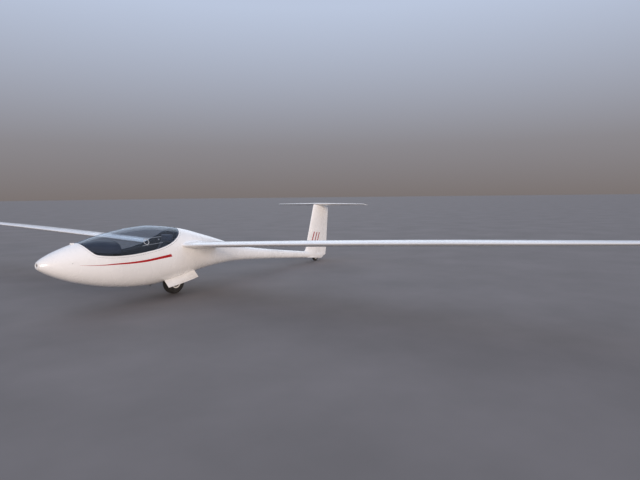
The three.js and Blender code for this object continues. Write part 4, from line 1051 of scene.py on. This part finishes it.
def gear_door():
    d = DOOR
    face, out = WELL["half"] - SEAT_GAP, (math.cos(d["lean"]), math.sin(d["lean"]))
    thick, width = d["thick"], d["width"]
    rings, ribs = [], []
    xs = np.linspace(WELL["front"] - d["inset"], WELL["rear"] + d["inset"], 25)
    for x in xs:
        skin = belly_at(x, WELL["half"])
        fold = skin - 5
        tip = (face + width * out[0], fold - width * out[1])
        ring = [(face - thick, skin + d["leaf"]), (face, skin + d["leaf"]), (face, fold + 4),
                (face + 0.9, fold + 1.2), (face + 3.4, fold - 2.6), (tip[0] - 1, tip[1] + 0.6),
                (tip[0], tip[1] - 1), (tip[0] - 5, tip[1] - 6), (tip[0] - 7.2, tip[1] - 4.6),
                (tip[0] - 5.4, tip[1] - 0.9), (face - 2.2, fold - 5.8), (face - thick + 3, fold - 4),
                (face - thick + 4.8, fold + 2), (face - thick + 4.8, skin + d["leaf"] - 5),
                (face - thick, skin + d["leaf"] - 5)]
        rings.append([(x, y, z) for y, z in ring])
    for x in (xs[0] - 40, 60, -60, xs[-1] + 40):
        skin = belly_at(x, WELL["half"])
        fold = skin - 5
        mid = (face + 0.62 * width * out[0] - 4, fold - 0.62 * width * out[1] - 4)
        ribs.append(prism([(face - thick + 3, skin + 14), (face - thick - 7, skin + 6),
                           (face - thick - 3, fold - 12), (mid[0] - 5, mid[1] - 6), mid,
                           (face, fold - 1)], 0, x - 1.5, x + 1.5))
    for x in (xs[0] - 40, xs[-1] + 40):
        skin = belly_at(x, WELL["half"])
        ribs.append(rod((x - 14, face - thick - 1.5, skin + d["leaf"] - 3), (x + 14, face - thick - 1.5,
                        skin + d["leaf"] - 3), 4, sides=20, paint=1))
    return joined(loft(rings), *ribs)


place_pair(gear_door(), "gear_door_panel", "gelcoat", ["gelcoat", "steel"], ["gear_door"], bevel=0.0005)


def tow_hook():
    x, skin = 470, belly_at(470, 0)
    box = cut(block((x - 32, x + 32), (-16, 16), (skin - 8, skin + 20)),
              block((x - 24, x + 25), (-8, 8), (skin - 20, skin + 6)))
    hook = prism([(x - 22, skin + 12), (x - 24, skin - 6), (x - 21, skin - 18), (x - 13, skin - 25),
                  (x - 3, skin - 26), (x + 3, skin - 22), (x + 2, skin - 17), (x - 6, skin - 18),
                  (x - 11, skin - 14), (x - 12, skin - 4), (x - 8, skin + 12)], 1, -4.5, 4.5)
    ring = rod((x + 8, -8, skin - 3), (x + 8, 8, skin - 3), 3.5, sides=20)
    return joined(cut(box, hull(x + 128, x - 128, -SEAT_GAP)), hook, ring)


place(tow_hook(), "tow_hook_body", "root", "steel", "steel", ["tow_release"], bevel=0.0006)


# Cockpit
def room(gap=SEAT_GAP):
    return common(hull(CAVITY["front"] - 5, CAVITY["rear"], SHELL + gap),
                  prism(CAVITY_OUTLINE, 1, -BEYOND, BEYOND))


PAN_CURVE = catmull(PAN_LINE, 9)
PAN_STEPS = np.concatenate([[0], np.cumsum(np.linalg.norm(np.diff(PAN_CURVE, axis=0), axis=1))])
PAN_SLOPE = np.gradient(PAN_CURVE, axis=0)
PAN_SLOPE /= np.linalg.norm(PAN_SLOPE, axis=1)[:, None]


def pan_at(s):
    """Point on the seat line and the direction out of it, a length s from its front."""
    x, z = (np.interp(s, PAN_STEPS, PAN_CURVE[:, k]) for k in (0, 1))
    tx, tz = (np.interp(s, PAN_STEPS, PAN_SLOPE[:, k]) for k in (0, 1))
    size = math.hypot(tx, tz)
    return Vector((x, 0, z)), Vector((tz / size, 0, -tx / size))


def pan_length(x):
    """Length along the seat line to where it first reaches x."""
    return float(np.interp(-x, -PAN_CURVE[:, 0], PAN_STEPS))


def seat_shell():
    rings = []
    across = np.linspace(-1, 1, 41)
    for s in np.linspace(0, PAN_STEPS[-1], 90):
        point, out = pan_at(s)
        wall = min(float(np.interp(point.z, *PAN_HALF)), 30 + half_width(point.x, point.z + 40))
        bolster = 26 * float(np.clip((point.x - 150) / 200, 0, 1) * np.clip((1010 - point.x) / 200, 0, 1))
        rise = bolster * np.abs(across) ** 5 + 7 * np.clip(np.abs(across) * 4 - 2.9, 0, 1) ** 2
        top = [point + out * float(r) + Vector((0, wall * t, 0)) for t, r in zip(across, rise)]
        low = [p - out * 6 for p in reversed(top)]
        rings.append([*top, *low])
    return common(loft(rings), room())


place(seat_shell(), "seat_shell", "root", "interior_grey", "interior", ["seat_pan"])


HOOD_REAR = HOOD_SECTIONS[0][0]


def hood_arch(x, inset, count=49):
    top, half, base = row_at(HOOD_SECTIONS, x)
    side, up = squared_off(np.pi * np.arange(count) / (count - 1), 2.5)
    return [(x, (half - inset) * a, base + (top - base - inset) * b)
            for a, b in zip(side, np.clip(up, 0, None))]


def hood():
    xs = [HOOD_REAR + 0.2, 1162, 1180, *range(1210, 1560, 30), 1560]
    shell = loft([[*hood_arch(x, 0), *hood_arch(x, 5)[::-1]] for x in xs])
    roll = tube(hood_arch(HOOD_REAR + 6, 3.0, 61), 5.6, 14)
    seam = tube([(x + 16, y, z + 0.2) for x, y, z in hood_arch(HOOD_REAR + 10, -0.4, 61)], 1.3, 8)
    return joined(shell, roll, seam)


place(hood(), "hood_cover", "root", "dark_cover", "navy", ["glare_shield"], sharp=60)

PANEL_FACE = HOOD_REAR - SEAT_GAP - 12
RADIO = ((-38, 38), (532, 566))
DIALS = [(0, 700, 40), (-92, 688, 40), (92, 688, 40), (-46, 612, 29), (46, 612, 29), (-124, 610, 29),
         (124, 610, 29), (-176, 655, 22), (176, 655, 22)]


def panel():
    foot = [(-190, 560), (-120, 520), (-90, 450), (90, 450), (120, 520), (190, 560)]
    arch = [(y, z) for _, y, z in hood_arch(HOOD_REAR + 0.1, 6, 49)]
    plate = prism([*arch, *foot], 0, PANEL_FACE, PANEL_FACE + 12)
    cuts = [rod((PANEL_FACE - 5, y, z), (PANEL_FACE + 6, y, z), r - 2.5, sides=48) for y, z, r in DIALS]
    return cut(plate, *cuts, block((PANEL_FACE - 5, PANEL_FACE + 4), *RADIO))


place(panel(), "panel_plate", "root", "black_plastic", "panel", ["instrument_panel"], bevel=0.0006)


def dial(y, z, r, turn, needle):
    """Bezel, dark face, ticks, needle with its hub, and four screws."""
    def at(x, angle=0.0, reach=0.0):
        return Vector((PANEL_FACE + x, y + reach * math.cos(angle), z + reach * math.sin(angle)))

    parts = [lathe([(r - 3, 3), (r - 3, -3.2), (r - 1.6, -4.4), (r + 1.2, -4.4), (r + 2.4, -3.2),
                    (r + 2.4, 0.2),
                    (r - 2.6, 0.2), (r - 2.6, 3)], 64, at(0), "x"),
             rod(at(2.5), at(5.5), r - 2.7, sides=48, paint=1),
             rod(at(0.8, needle, -0.2 * r), at(0.8, needle, 0.72 * r), 1.3, 0.4, sides=8, paint=2),
             rod(at(-0.4), at(2.6), 3, sides=20)]
    marks = 20 if r > 30 else 12
    for i in range(marks):
        a = 2 * math.pi * (i + 0.5) / marks + turn
        root, thick = ((r - 2) * 0.74, 0.75) if i % 2 else ((r - 2) * 0.82, 0.5)
        parts.append(rod(at(2.2, a, root), at(2.2, a, r - 4.5), thick, sides=4, paint=2))
    for corner in (45, 135, 225, 315):
        a, reach = math.radians(corner), 0.79 * (r + 3.5) * math.sqrt(2)
        parts.append(rod(at(-1.6, a, reach), at(0.5, a, reach), 2.1, sides=12, paint=3))
    return parts


def instruments():
    """Dials, the radio with its display and knobs, a row of switches and three more knobs."""
    face = PANEL_FACE
    parts = [block((face - 3, face + 4), *RADIO),
             block((face - 3.6, face - 2.9), (-18, 18), (541, 558), 1)]
    for number, (y, z, r) in enumerate(DIALS):
        parts += dial(y, z, r, 0.4 * number, 2.2 + 0.9 * number)
    for y in (-28, 28):
        parts.append(rod((face - 14, y, 549), (face - 2, y, 549), 6.2, 7))
    for i, y in enumerate((-60, -36, -12, 12, 36, 60)):
        parts.append(rod((face - 3, y, 498), (face, y, 498), 5.5, sides=6, paint=3))
        parts.append(rod((face - 14, y, 494 + 8 * (i % 2)), (face - 2, y, 498), 2.6, 1.7, sides=12, paint=3))
    for y in (-44, 0, 44):
        parts.append(rod((face - 9, y, 470), (face, y, 470), 6))
        parts.append(rod((face - 11, y, 470), (face - 8.5, y, 470), 4.5, paint=3))
    return joined(*parts)


place(instruments(), "instruments", "root", "black_plastic", ["black", "panel", "dial_white", "steel"])


def column_box():
    body = common(block((1150, 1340), (-72, 72), (0, 640)), room())
    return cut(body, block((1166, 1324), (66, 90), (300, 620)), block((1166, 1324), (-90, -66), (300, 620)))


place(column_box(), "column_box", "root", "interior_grey", "interior", ["instrument_column"], bevel=0.004)


def smooth_path(points, per=8):
    p = [Vector(q) for q in points]
    p = [2 * p[0] - p[1], *p, 2 * p[-1] - p[-2]]
    out = []
    for i in range(1, len(p) - 2):
        for t in (k / per for k in range(per)):
            out.append(0.5 * (2 * p[i] + (p[i + 1] - p[i - 1]) * t
                              + (2 * p[i - 1] - 5 * p[i] + 4 * p[i + 1] - p[i + 2]) * t ** 2
                              + (3 * p[i] - p[i - 1] - 3 * p[i + 1] + p[i + 2]) * t ** 3))
    return [*out, p[-2]]


def stick():
    rodding = smooth_path([(815, 0, 232), (803, 0, 285), (790, 0, 330), (776, 0, 385), (763, 0, 435),
                           (745, 0, 505)])
    grip_line = smooth_path([(772, 0, 400), (763, 0, 435), (754, 0, 470), (745, 0, 505), (743.5, 0, 511)], 9)
    grip_radii = [14 + 1.6 * math.cos(2 * math.pi * k / 9) + 1.5 * k / len(grip_line)
                  for k in range(len(grip_line))]
    grip_radii[0], grip_radii[-1] = 10.5, 12
    grip = tube(grip_line, 15, 32, 1, radii=grip_radii)
    pleats = [(4, 262), (19, 262), (17, 257), (24, 253), (20, 247), (29, 243), (25, 236), (35, 231),
              (30, 223), (40, 217), (36, 209), (46, 201), (46, 182), (4, 182)]
    boot = lathe(pleats, 48, (813, 0, 0), "z", 2)
    button = rod((744, 0, 510), (741.5, 0, 518.5), 6, 5, sides=24, paint=3)
    body = joined(tube(rodding, 9, 24), grip, boot, button)
    return common(body, prism([*[(x, z + SEAT_GAP) for x, z in PAN_CURVE], (0, 1200), (1010, 1200)],
                              1, -BEYOND, BEYOND))


place(stick(), "stick_and_boot", "root", "black_plastic", ["black", "black", "navy", "red"],
      ["control_stick"], sharp=50)


def pedals():
    bar = rod((1440, -BEYOND, 320), (1440, BEYOND, 320), 7, sides=28)
    parts = [common(bar, room())]
    for side in (1, -1):
        y0, y1 = sorted((side * 88, side * 150))
        plate = block((1434, 1440), (y0, y1), (312, 458))
        edge = tube([(1436, y0 + 3, 312), (1436, y0 + 3, 452), (1436, y0 + 8, 458), (1436, y1 - 8, 458),
                     (1436, y1 - 3, 452), (1436, y1 - 3, 312)], 4, 12)
        ribs = [block((1431.5, 1435), (y0 + 8, y1 - 8), (z, z + 3)) for z in range(340, 446, 13)]
        heel = prism([(1425, 310), (1446, 310), (1446, 316), (1428, 316), (1424, 330), (1420, 330)],
                     1, y0, y1)
        parts += [plate, edge, heel, *ribs, rod((1440, y0 - 6, 320), (1440, y1 + 6, 320), 11, sides=28)]
    return joined(*parts)


place(pedals(), "pedal_set", "root", "steel", "alloy", ["rudder_pedals"], bevel=0.0006)


def lever():
    parts = [rod((560, 252, 500), (860, 252, 500), 7, sides=24)]
    for x in (590, 840):
        holder = block((x - 8, x + 8), (252, 332), (490, 510))
        parts.append(common(holder, room()))
        parts.append(rod((x - 9, 252, 500), (x + 9, 252, 500), 11, sides=28))
    handle = smooth_path([(822, 250, 494), (812, 240, 512), (805, 229, 530), (798, 218, 552),
                          (795, 214, 562)], 7)
    radii = [9 + 6.5 * math.sin(math.pi * min(1.0, 0.22 + 0.72 * k / (len(handle) - 1)))
             for k in range(len(handle))]
    parts.append(tube(handle, 14, 28, 1, radii=radii))
    parts.append(rod((820, 252, 500), (858, 252, 500), 9.5, sides=28))
    parts.append(rod((556, 252, 500), (564, 252, 500), 8.6, sides=24))
    return joined(*parts)


place(lever(), "airbrake_handle", "root", "blue_grip", ["steel", "blue"], ["airbrake_lever"], sharp=50)
place(reflected(lever()), "gear_handle", "root", "black_plastic", ["steel", "black"], ["gear_lever"],
      sharp=50)


# Seat cushions and headrest: crowned pads, swollen by cloth pressure, then quilted
PAD_VOXEL, PAD_FRAMES, PAD_LIFT = 5.0, 20, 2.0


def swell(body, cap):
    """Inflates a closed pad in millimetres, moving no point further than cap."""
    modified(body, "REMESH", mode="VOXEL", voxel_size=PAD_VOXEL)
    body.data.transform(Matrix.Scale(0.001, 4))
    before = np.array([v.co[:] for v in body.data.vertices])
    cloth = body.modifiers.new("cloth", "CLOTH")
    cloth.settings.use_pressure = True
    cloth.settings.uniform_pressure_force = 4
    cloth.settings.quality = 5
    cloth.settings.effector_weights.gravity = 0
    cloth.point_cache.frame_start, cloth.point_cache.frame_end = 1, PAD_FRAMES
    for number in range(1, PAD_FRAMES + 1):
        bpy.context.scene.frame_set(number)
    evaluated(body)
    bpy.context.scene.frame_set(1)
    after = np.array([v.co[:] for v in body.data.vertices])
    step = after - before
    size = np.linalg.norm(step, axis=1)[:, None]
    step *= np.minimum(1, cap / 1000 / np.maximum(size, 1e-9))
    for vertex, point in zip(body.data.vertices, (before + step) * 1000):
        vertex.co = point
    return modified(body, "SUBSURF", levels=1)


def grid_pad(rows, columns, pair_at):
    """Closed pad on a grid: pair_at gives upper and lower point at u along and v across, from -1 to 1."""
    pairs = [pair_at(2 * i / (rows - 1) - 1, 2 * j / (columns - 1) - 1) for i in range(rows)
             for j in range(columns)]
    count = rows * columns
    faces = []
    for i in range(rows - 1):
        for j in range(columns - 1):
            a = i * columns + j
            faces.append((a, a + 1, a + columns + 1, a + columns))
            faces.append((count + a, count + a + columns, count + a + columns + 1, count + a + 1))
    border = [*range(columns), *range(2 * columns - 1, count, columns),
              *range(count - 2, count - columns - 1, -1), *range(count - 2 * columns, 0, -columns)]
    for a, b in zip(border, border[1:] + border[:1]):
        faces.append((a, a + count, b + count, b))
    return solid([*(pair[0] for pair in pairs), *(pair[1] for pair in pairs)], faces)


def pad_on_pan(s0, s1, half, thick):
    """A crowned pad that follows the seat line between two lengths."""
    def pair_at(u, v):
        point, out = pan_at((s0 + s1) / 2 + (s1 - s0) / 2 * u * (1 - 0.04 * (1 - v * v) * u * u))
        crown = thick * (0.32 + 0.68 * (max(0.0, (1 - u ** 6) * (1 - v ** 6))) ** 0.45)
        side = Vector((0, half * v * (1 - 0.05 * (1 - u * u) * abs(v) ** 4), 0))
        return point + side + out * (PAD_LIFT + crown), point + side + out * PAD_LIFT

    return grid_pad(33, 29, pair_at)


def quilt_pan(body, s0, s1, half, across, along, depth):
    """Presses sewn channels into the upper side of a pad on the seat line."""
    for vertex in body.data.vertices:
        p = vertex.co
        s = float(PAN_STEPS[np.argmin((PAN_CURVE[:, 0] - p.x) ** 2 + (PAN_CURVE[:, 1] - p.z) ** 2)])
        point, out = pan_at(s)
        height = (p - Vector((point.x, p.y, point.z))).dot(out)
        if height < 12:
            continue
        dip = 0.0
        for k in across:
            dip = max(dip, math.exp(-((s - (s0 + (s1 - s0) * k)) / 6.0) ** 2) * (abs(p.y) < half * 0.62))
        for y in along:
            dip = max(dip, math.exp(-((abs(p.y) - y) / 6.0) ** 2))
        p -= out * depth * dip
    return body


def cushion(name, node, x0, x1, half, thick, across, along):
    s0, s1 = pan_length(x0), pan_length(x1)
    body = swell(common(pad_on_pan(s0, s1, half, thick), room(3)), 7)
    body = quilt_pan(body, s0, s1, half, across, along, 6.5)
    place(body, name, "root", "cushion", "cushion", [node], sharp=70, weighted=False)
    seams = []
    for lift in (4, thick * 0.42):
        loop = []
        for k in range(121):
            a = 2 * math.pi * k / 120
            c, s = squared_off(np.array([a]), 9)
            u, v = float(c[0]), float(s[0])
            point, out = pan_at((s0 + s1) / 2 + (s1 - s0) / 2 * u * 0.995)
            loop.append(point + Vector((0, half * v * (1 - 0.05 * (1 - u * u)), 0)) + out * lift)
        seams.append(tube(loop, 2.2, 8))
    place(joined(*seams), f"{name}_piping", "root", "cushion", "navy", sharp=60)


cushion("seat_pad", "seat_cushion", 734, 474, 162, 30, (0.33, 0.66), (104,))
cushion("back_pad", "back_cushion", 388, 209, 168, 40, (0.25, 0.5, 0.75), (112,))


def headrest():
    h = HEADREST
    middle = (h["bottom"] + h["top"]) / 2

    def pair_at(u, v):
        y = (h["half"] - 6) * v * (1 - 0.07 * abs(u) ** 3) * (1 - 0.03 * (1 - u * u) * abs(v) ** 3)
        z = middle + (h["top"] - h["bottom"] - 12) / 2 * u * (1 - 0.05 * abs(v) ** 3)
        deep = (h["front"] - h["rear"] - 14) * (0.45 + 0.55 * (max(0.0, (1 - u ** 4) * (1 - v ** 6))) ** 0.5)
        return (h["rear"] + PAD_LIFT + deep, y, z), (h["rear"] + PAD_LIFT, y, z)

    body = swell(grid_pad(25, 31, pair_at), 6)
    for vertex in body.data.vertices:
        if vertex.co.x > h["rear"] + 30:
            dip = math.exp(-((vertex.co.z - middle) / 5) ** 2) * (abs(vertex.co.y) < 80)
            vertex.co.x -= 6 * dip
    return body


rest = place(headrest(), "headrest_pad", "root", "cushion", "cushion", ["headrest"], sharp=70, weighted=False)


def headrest_posts():
    h = HEADREST
    middle = (h["bottom"] + h["top"]) / 2
    parts = []
    for y in (-h["post_y"], h["post_y"]):
        parts.append(rod((h["wall"] + SEAT_GAP, y, middle), (h["rear"] + 8, y, middle), h["post"] - 1,
                         sides=28))
        parts.append(rod((h["wall"] + SEAT_GAP, y, middle), (h["wall"] + 5, y, middle), 17, sides=36))
    return joined(*parts)


place(headrest_posts(), "headrest_posts", "root", "steel", "alloy", bevel=0.0006)


# Harness: flat webbing laid over the cushions, with its buckle
WEBBING_WIDE, WEBBING_THICK = 44, 2.2


def webbing(points, normals):
    """Flat strap along points, facing along the normals."""
    rings = []
    pts = [Vector(p) for p in points]
    for k, (p, n) in enumerate(zip(pts, normals)):
        along = (pts[min(k + 1, len(pts) - 1)] - pts[max(k - 1, 0)]).normalized()
        n = Vector(n).normalized()
        side = along.cross(n).normalized()
        n = side.cross(along).normalized()
        h, t = WEBBING_WIDE / 2, WEBBING_THICK / 2
        outline = ((-h, 0), (-h + 1, t), (0, t), (h - 1, t), (h, 0), (h - 1, -t), (0, -t), (-h + 1, -t))
        rings.append([p + side * a + n * b for a, b in outline])
    return loft(rings)


def shoulder_strap(side):
    """From the rear wall over the top of the seat back and down the cushion to the buckle."""
    path = [Vector((x, side * y, z)) for x, y, z in ((-46, 150, 822), (40, 149, 820), (118, 148, 814),
                                                     (148, 146, 806))]
    normals = [Vector((0.1, 0, 1)), Vector((0, 0, 1)), Vector((0.1, 0, 1)), Vector((0.6, 0, 0.8))]
    rows = ((160, 144, 6), (182, 139, 12), (203, 131, 40), (222, 122, 54), (255, 106, 56), (300, 84, 56),
            (345, 62, 55), (390, 44, 53), (430, 30, 50), (460, 22, 47), (486, 17, 46))
    for x, y, height in rows:
        point, out = pan_at(pan_length(x))
        path.append(point + out * height + Vector((0, side * y, 0)))
        normals.append(out)
    per = 4
    steps = np.arange(per * (len(path) - 1) + 1) / per
    turned = [Vector(float(np.interp(k, range(len(path)), [n[c] for n in normals])) for c in range(3))
              for k in steps]
    return webbing(smooth_path(path, per), turned)


def lap_strap(side):
    ends = [(452, side * 214, 306), (462, side * 186, 300), (480, side * 130, 282), (492, side * 70, 276),
            (496, side * 24, 275)]
    path = smooth_path(ends, 5)
    return webbing(path, [(0.25, side * 0.25 * (abs(p.y) > 120), 1) for p in path])


def buckle():
    centre = (500, 0, 282)
    parts = [lathe([(4, -7), (26, -7), (28, -5), (28, 3), (25, 7), (4, 7)], 48, centre, "z"),
             lathe([(2, 7), (15, 7), (14, 11), (2, 11)], 40, centre, "z", 1)]
    for y in (-214, 214):
        parts.append(lathe([(6, -2), (15, -2), (15, 2), (6, 2)], 32, (450, y * 0.99, 309), "x"))
    return joined(*parts)


for side, word in ((1, "left"), (-1, "right")):
    place(shoulder_strap(side), f"shoulder_strap_{word}", "root", "cushion", "webbing", sharp=50,
          weighted=False)
    place(lap_strap(side), f"lap_strap_{word}", "root", "cushion", "webbing", sharp=50, weighted=False)
place(buckle(), "harness_buckle", "root", "steel", ["steel", "red"], bevel=0.0005)


# Canopy fittings
def skin_matrix(x, z, side=1, proud=0.0):
    """Frame on the fuselage skin: local z points out of it, local x runs forward."""
    e = 2.0
    y = half_width(x, z)
    dx = (half_width(x + e, z) - half_width(x - e, z)) / (2 * e)
    dz = (half_width(x, z + e) - half_width(x, z - e)) / (2 * e)
    out = Vector((-dx, 1, -dz)).normalized()
    forward = Vector((1, dx, 0)).normalized()
    upward = out.cross(forward).normalized()
    matrix = Matrix((forward, upward, out)).transposed().to_4x4()
    matrix.translation = Vector((x, y, z)) + out * proud
    return matrix if side > 0 else Matrix.Scale(-1, 4, (0, 1, 0)) @ matrix


def window_fittings():
    parts = []
    for z0, z1 in ((709, 769), (801, 850)):
        line = [skin_matrix(861 - 344 * t, z0 + (z1 - z0) * t, 1, -7.5).translation
                for t in np.linspace(0, 1, 15)]
        parts.append(tube(line, 3.0, 12, flat=1.5))
    vent = lathe([(33, 0), (33, 2.2), (36, 3.4), (41, 3.4), (43, 2.0), (43, 0)], 56, (0, 0, 0), "z")
    parts.append(moved(vent, skin_matrix(792, 764, 1, -0.2)))
    knob = lathe([(0.5, -16), (9, -16), (10, -13), (8, -8), (3.5, -6), (3.5, -4), (0.5, -4)], 32, (0, 0, 0),
                 "z")
    parts.append(moved(knob, skin_matrix(568, 812, 1, 0)))
    return joined(*parts)


place(window_fittings(), "window_fittings", "canopy", "canopy_glass", "clear_edge", sharp=50)


def canopy_handles():
    parts = []
    for side in (1, -1):
        m = skin_matrix(742, 616, side, -22)
        parts.append(moved(lathe([(0.5, -10), (8, -10), (8, 0), (0.5, 0)], 28, (0, 0, 0), "z"), m))
        bar = tube([(0, 0, -9), (18, 5, -12), (45, 10, -13), (62, 12, -12)], 5, 16, flat=0.8,
                   radii=[4, 4.5, 5.5, 4.5], paint=1)
        parts.append(moved(bar, m))
    return joined(*parts)


place(canopy_handles(), "canopy_lock_handles", "canopy", "interior_grey", ["steel", "red"], sharp=50)


# Coloured strips: closed, and so thin on the skin that they read as paint
STRIP_PROUD, STRIP_SUNK, STRIP_ROWS = 0.45, 0.8, 4
STRIPE = np.array([(1690, 448, 1.4), (1586, 448, 4), (1409, 453, 9), (1251, 466, 15.5), (1036, 482, 22),
                   (804, 510, 29), (552, 556, 34.5), (371, 589, 37)], float)


def stripe():
    """Strip along the port side whose rear end is cut off at a slant."""
    rings = []
    for x in np.linspace(STRIPE[0, 0], STRIPE[-1, 0], 130):
        z, high = row_at(STRIPE[::-1], x)
        lean = float(np.clip((560 - x) / 190, 0, 1)) * 0.62
        levels = [z - high / 2 + high * r / (STRIP_ROWS - 1) for r in range(STRIP_ROWS)]
        line = [(x + lean * (level - z), level) for level in levels]
        outer = [(a, half_width(a, b) + STRIP_PROUD, b) for a, b in line]
        inner = [(a, half_width(a, b) - STRIP_SUNK, b) for a, b in line]
        rings.append([*outer, *inner[::-1]])
    return loft(rings)


place_pair(stripe(), "stripe", "gelcoat", "red", weighted=False)


def fin_half(x, z):
    lead, trail, thick = row_at(FIN_SECTIONS, z)
    s = (lead - x) / (lead - trail)
    return thick * aerofoil_half(s) + FIN_EDGE / 2 * s


def fin_bar(x0):
    """Slanted bar up the port side of the fin from x0."""
    low, high, back, wide, rows = 935, 1135, 78, 34, 14
    rings = []
    for k in range(rows):
        t = k / (rows - 1)
        x, z = x0 - back * t, low + (high - low) * t
        steps = (-wide / 2, -wide / 6, wide / 6, wide / 2)
        outer = [(x + d, fin_half(x + d, z) + STRIP_PROUD, z) for d in steps]
        inner = [(x + d, fin_half(x + d, z) - STRIP_SUNK, z) for d in steps]
        rings.append([*outer, *inner[::-1]])
    return loft(rings)


place_pair(joined(*(fin_bar(x) for x in (-3885, -3995, -4105))), "fin_bars", "gelcoat", "red", weighted=False)


def root_tape():
    base, outer = wing_ring(WING_ROOT_Y), wing_ring(WING_ROOT_Y + 13)
    inner = base.copy()
    inner[:, 1] = WING_ROOT_Y - 13
    rings = [ring + 0.4 * ring_normals(ring) for ring in (inner, base, outer)]
    hollow = [ring - 0.6 * ring_normals(ring) for ring in (outer, base, inner)]
    rings = np.array([*rings, *hollow, rings[0]])
    return loft(rings, caps=False)


place_pair(root_tape(), "root_tape", "gelcoat", "trim_white", weighted=False)


def tip_skid():
    """Hard-wearing shoe under the wing tip."""
    rings = []
    for k in range(17):
        t = k / 16
        swell_up = math.sin(math.pi * t) ** 0.5 if 0 < t < 1 else 0.02
        x, y, z = wing_point(7340, 0.18 + 0.55 * t, -1)
        ring = [(x, y + 11 * swell_up * math.cos(a), z + 3 - (11 * swell_up) * max(0.0, math.sin(a)) - 1.0)
                for a in (math.pi * i / 12 for i in range(13))]
        rings.append([*ring, (x, y - 11 * swell_up, z + 4), (x, y + 11 * swell_up, z + 4)])
    return loft(rings)


place_pair(tip_skid(), "tip_skid", "gelcoat", "black", sharp=50)


def pressure_ports():
    parts = []
    for x, z in ((-2700, 640), (-2740, 640), (1770, 470)):
        for side in (1, -1):
            disc = lathe([(1.4, -1.5), (1.4, 0.25), (5.5, 0.25), (6.2, 0), (6.2, -1.5)], 32, (0, 0, 0), "z")
            parts.append(moved(disc, skin_matrix(x, z, side)))
    return joined(*parts)


place(pressure_ports(), "pressure_ports", "root", "steel", "alloy")

for node in ("main_axle", "tail_axle"):
    for slot in bpy.data.objects[node].material_slots:
        slot.material = MAT["steel"]

bpy.context.view_layer.update()

# Camera, light and floor
SENSOR_WIDTH, FRAME_WIDTH = 36, 640
FLOOR_HALF = 600


def camera(location, yaw, pitch, roll, pixels):
    """Camera at a place in metres, turned in degrees, with its focal length in pixels of the frame."""
    yaw, pitch, roll = map(math.radians, (yaw, pitch, roll))
    forward = Vector((math.cos(yaw) * math.cos(pitch), math.sin(yaw) * math.cos(pitch), -math.sin(pitch)))
    right = Vector((math.sin(yaw), -math.cos(yaw), 0))
    up = right.cross(forward)
    c, s = math.cos(roll), math.sin(roll)
    data = bpy.data.cameras.new("photo_camera")
    data.sensor_fit, data.sensor_width = "HORIZONTAL", SENSOR_WIDTH
    data.lens = pixels * SENSOR_WIDTH / FRAME_WIDTH
    data.clip_end = 2000
    eye = bpy.data.objects.new("photo_camera", data)
    bpy.context.scene.collection.objects.link(eye)
    axes = Matrix((c * right + s * up, -s * right + c * up, -forward)).transposed()
    eye.matrix_world = Matrix.Translation(location) @ axes.to_4x4()
    bpy.context.scene.camera = eye


camera((5.1094, 5.6128, 1.4402), 210.6077, 5.1624, -0.6548, 483.44)


def sun(name, azimuth, height, spread_angle, strength, colour):
    """Soft light from a direction in degrees: azimuth from the nose towards port, height over the floor."""
    azimuth, height = math.radians(azimuth), math.radians(height)
    data = bpy.data.lights.new(name, "SUN")
    data.angle, data.energy, data.color = math.radians(spread_angle), strength, colour
    lamp = bpy.data.objects.new(name, data)
    lamp.rotation_mode = "QUATERNION"
    come = Vector((math.cos(azimuth) * math.cos(height), math.sin(azimuth) * math.cos(height),
                   math.sin(height)))
    lamp.rotation_quaternion = (-come).to_track_quat("-Z", "Y")
    bpy.context.scene.collection.objects.link(lamp)


sun("key", 54, 7.5, 20, 2.6, (1.0, 0.83, 0.72))
sun("rear", 215, 32, 50, 0.45, (0.88, 0.94, 1.0))

world = bpy.data.worlds.new("studio")
world.use_nodes = True
tree = world.node_tree
height = tree.nodes.new("ShaderNodeSeparateXYZ")
link(tree, tree.nodes.new("ShaderNodeTexCoord").outputs["Generated"], height.inputs[0])
sky = ramp(tree, height.outputs["Z"], [(0.0, (0.20, 0.175, 0.17)), (0.10, (0.26, 0.25, 0.27)),
                                       (0.35, (0.50, 0.57, 0.72)), (1.0, (0.52, 0.61, 0.80))])
link(tree, sky, tree.nodes["Background"].inputs["Color"])
tree.nodes["Background"].inputs["Strength"].default_value = 1.0
bpy.context.scene.world = world
bpy.context.scene.view_settings.view_transform = "Standard"

floor_material, tree, shader = new_material("studio_floor")
patches = ramp(tree, noise(tree, 0.8, 4), [(0.3, (0.175, 0.155, 0.145)), (0.7, (0.215, 0.19, 0.18))])
link(tree, patches, shader.inputs["Base Color"])
set_values(shader, Roughness=0.85)
floor = solid([(x * FLOOR_HALF, y * FLOOR_HALF, 0) for x, y in ((-1, -1), (1, -1), (1, 1), (-1, 1))],
              [(0, 1, 2, 3)])
floor.name = "studio_floor"
floor.data.materials.clear()
floor.data.materials.append(floor_material)
for slot in PAINTS:
    bpy.data.materials.remove(slot)
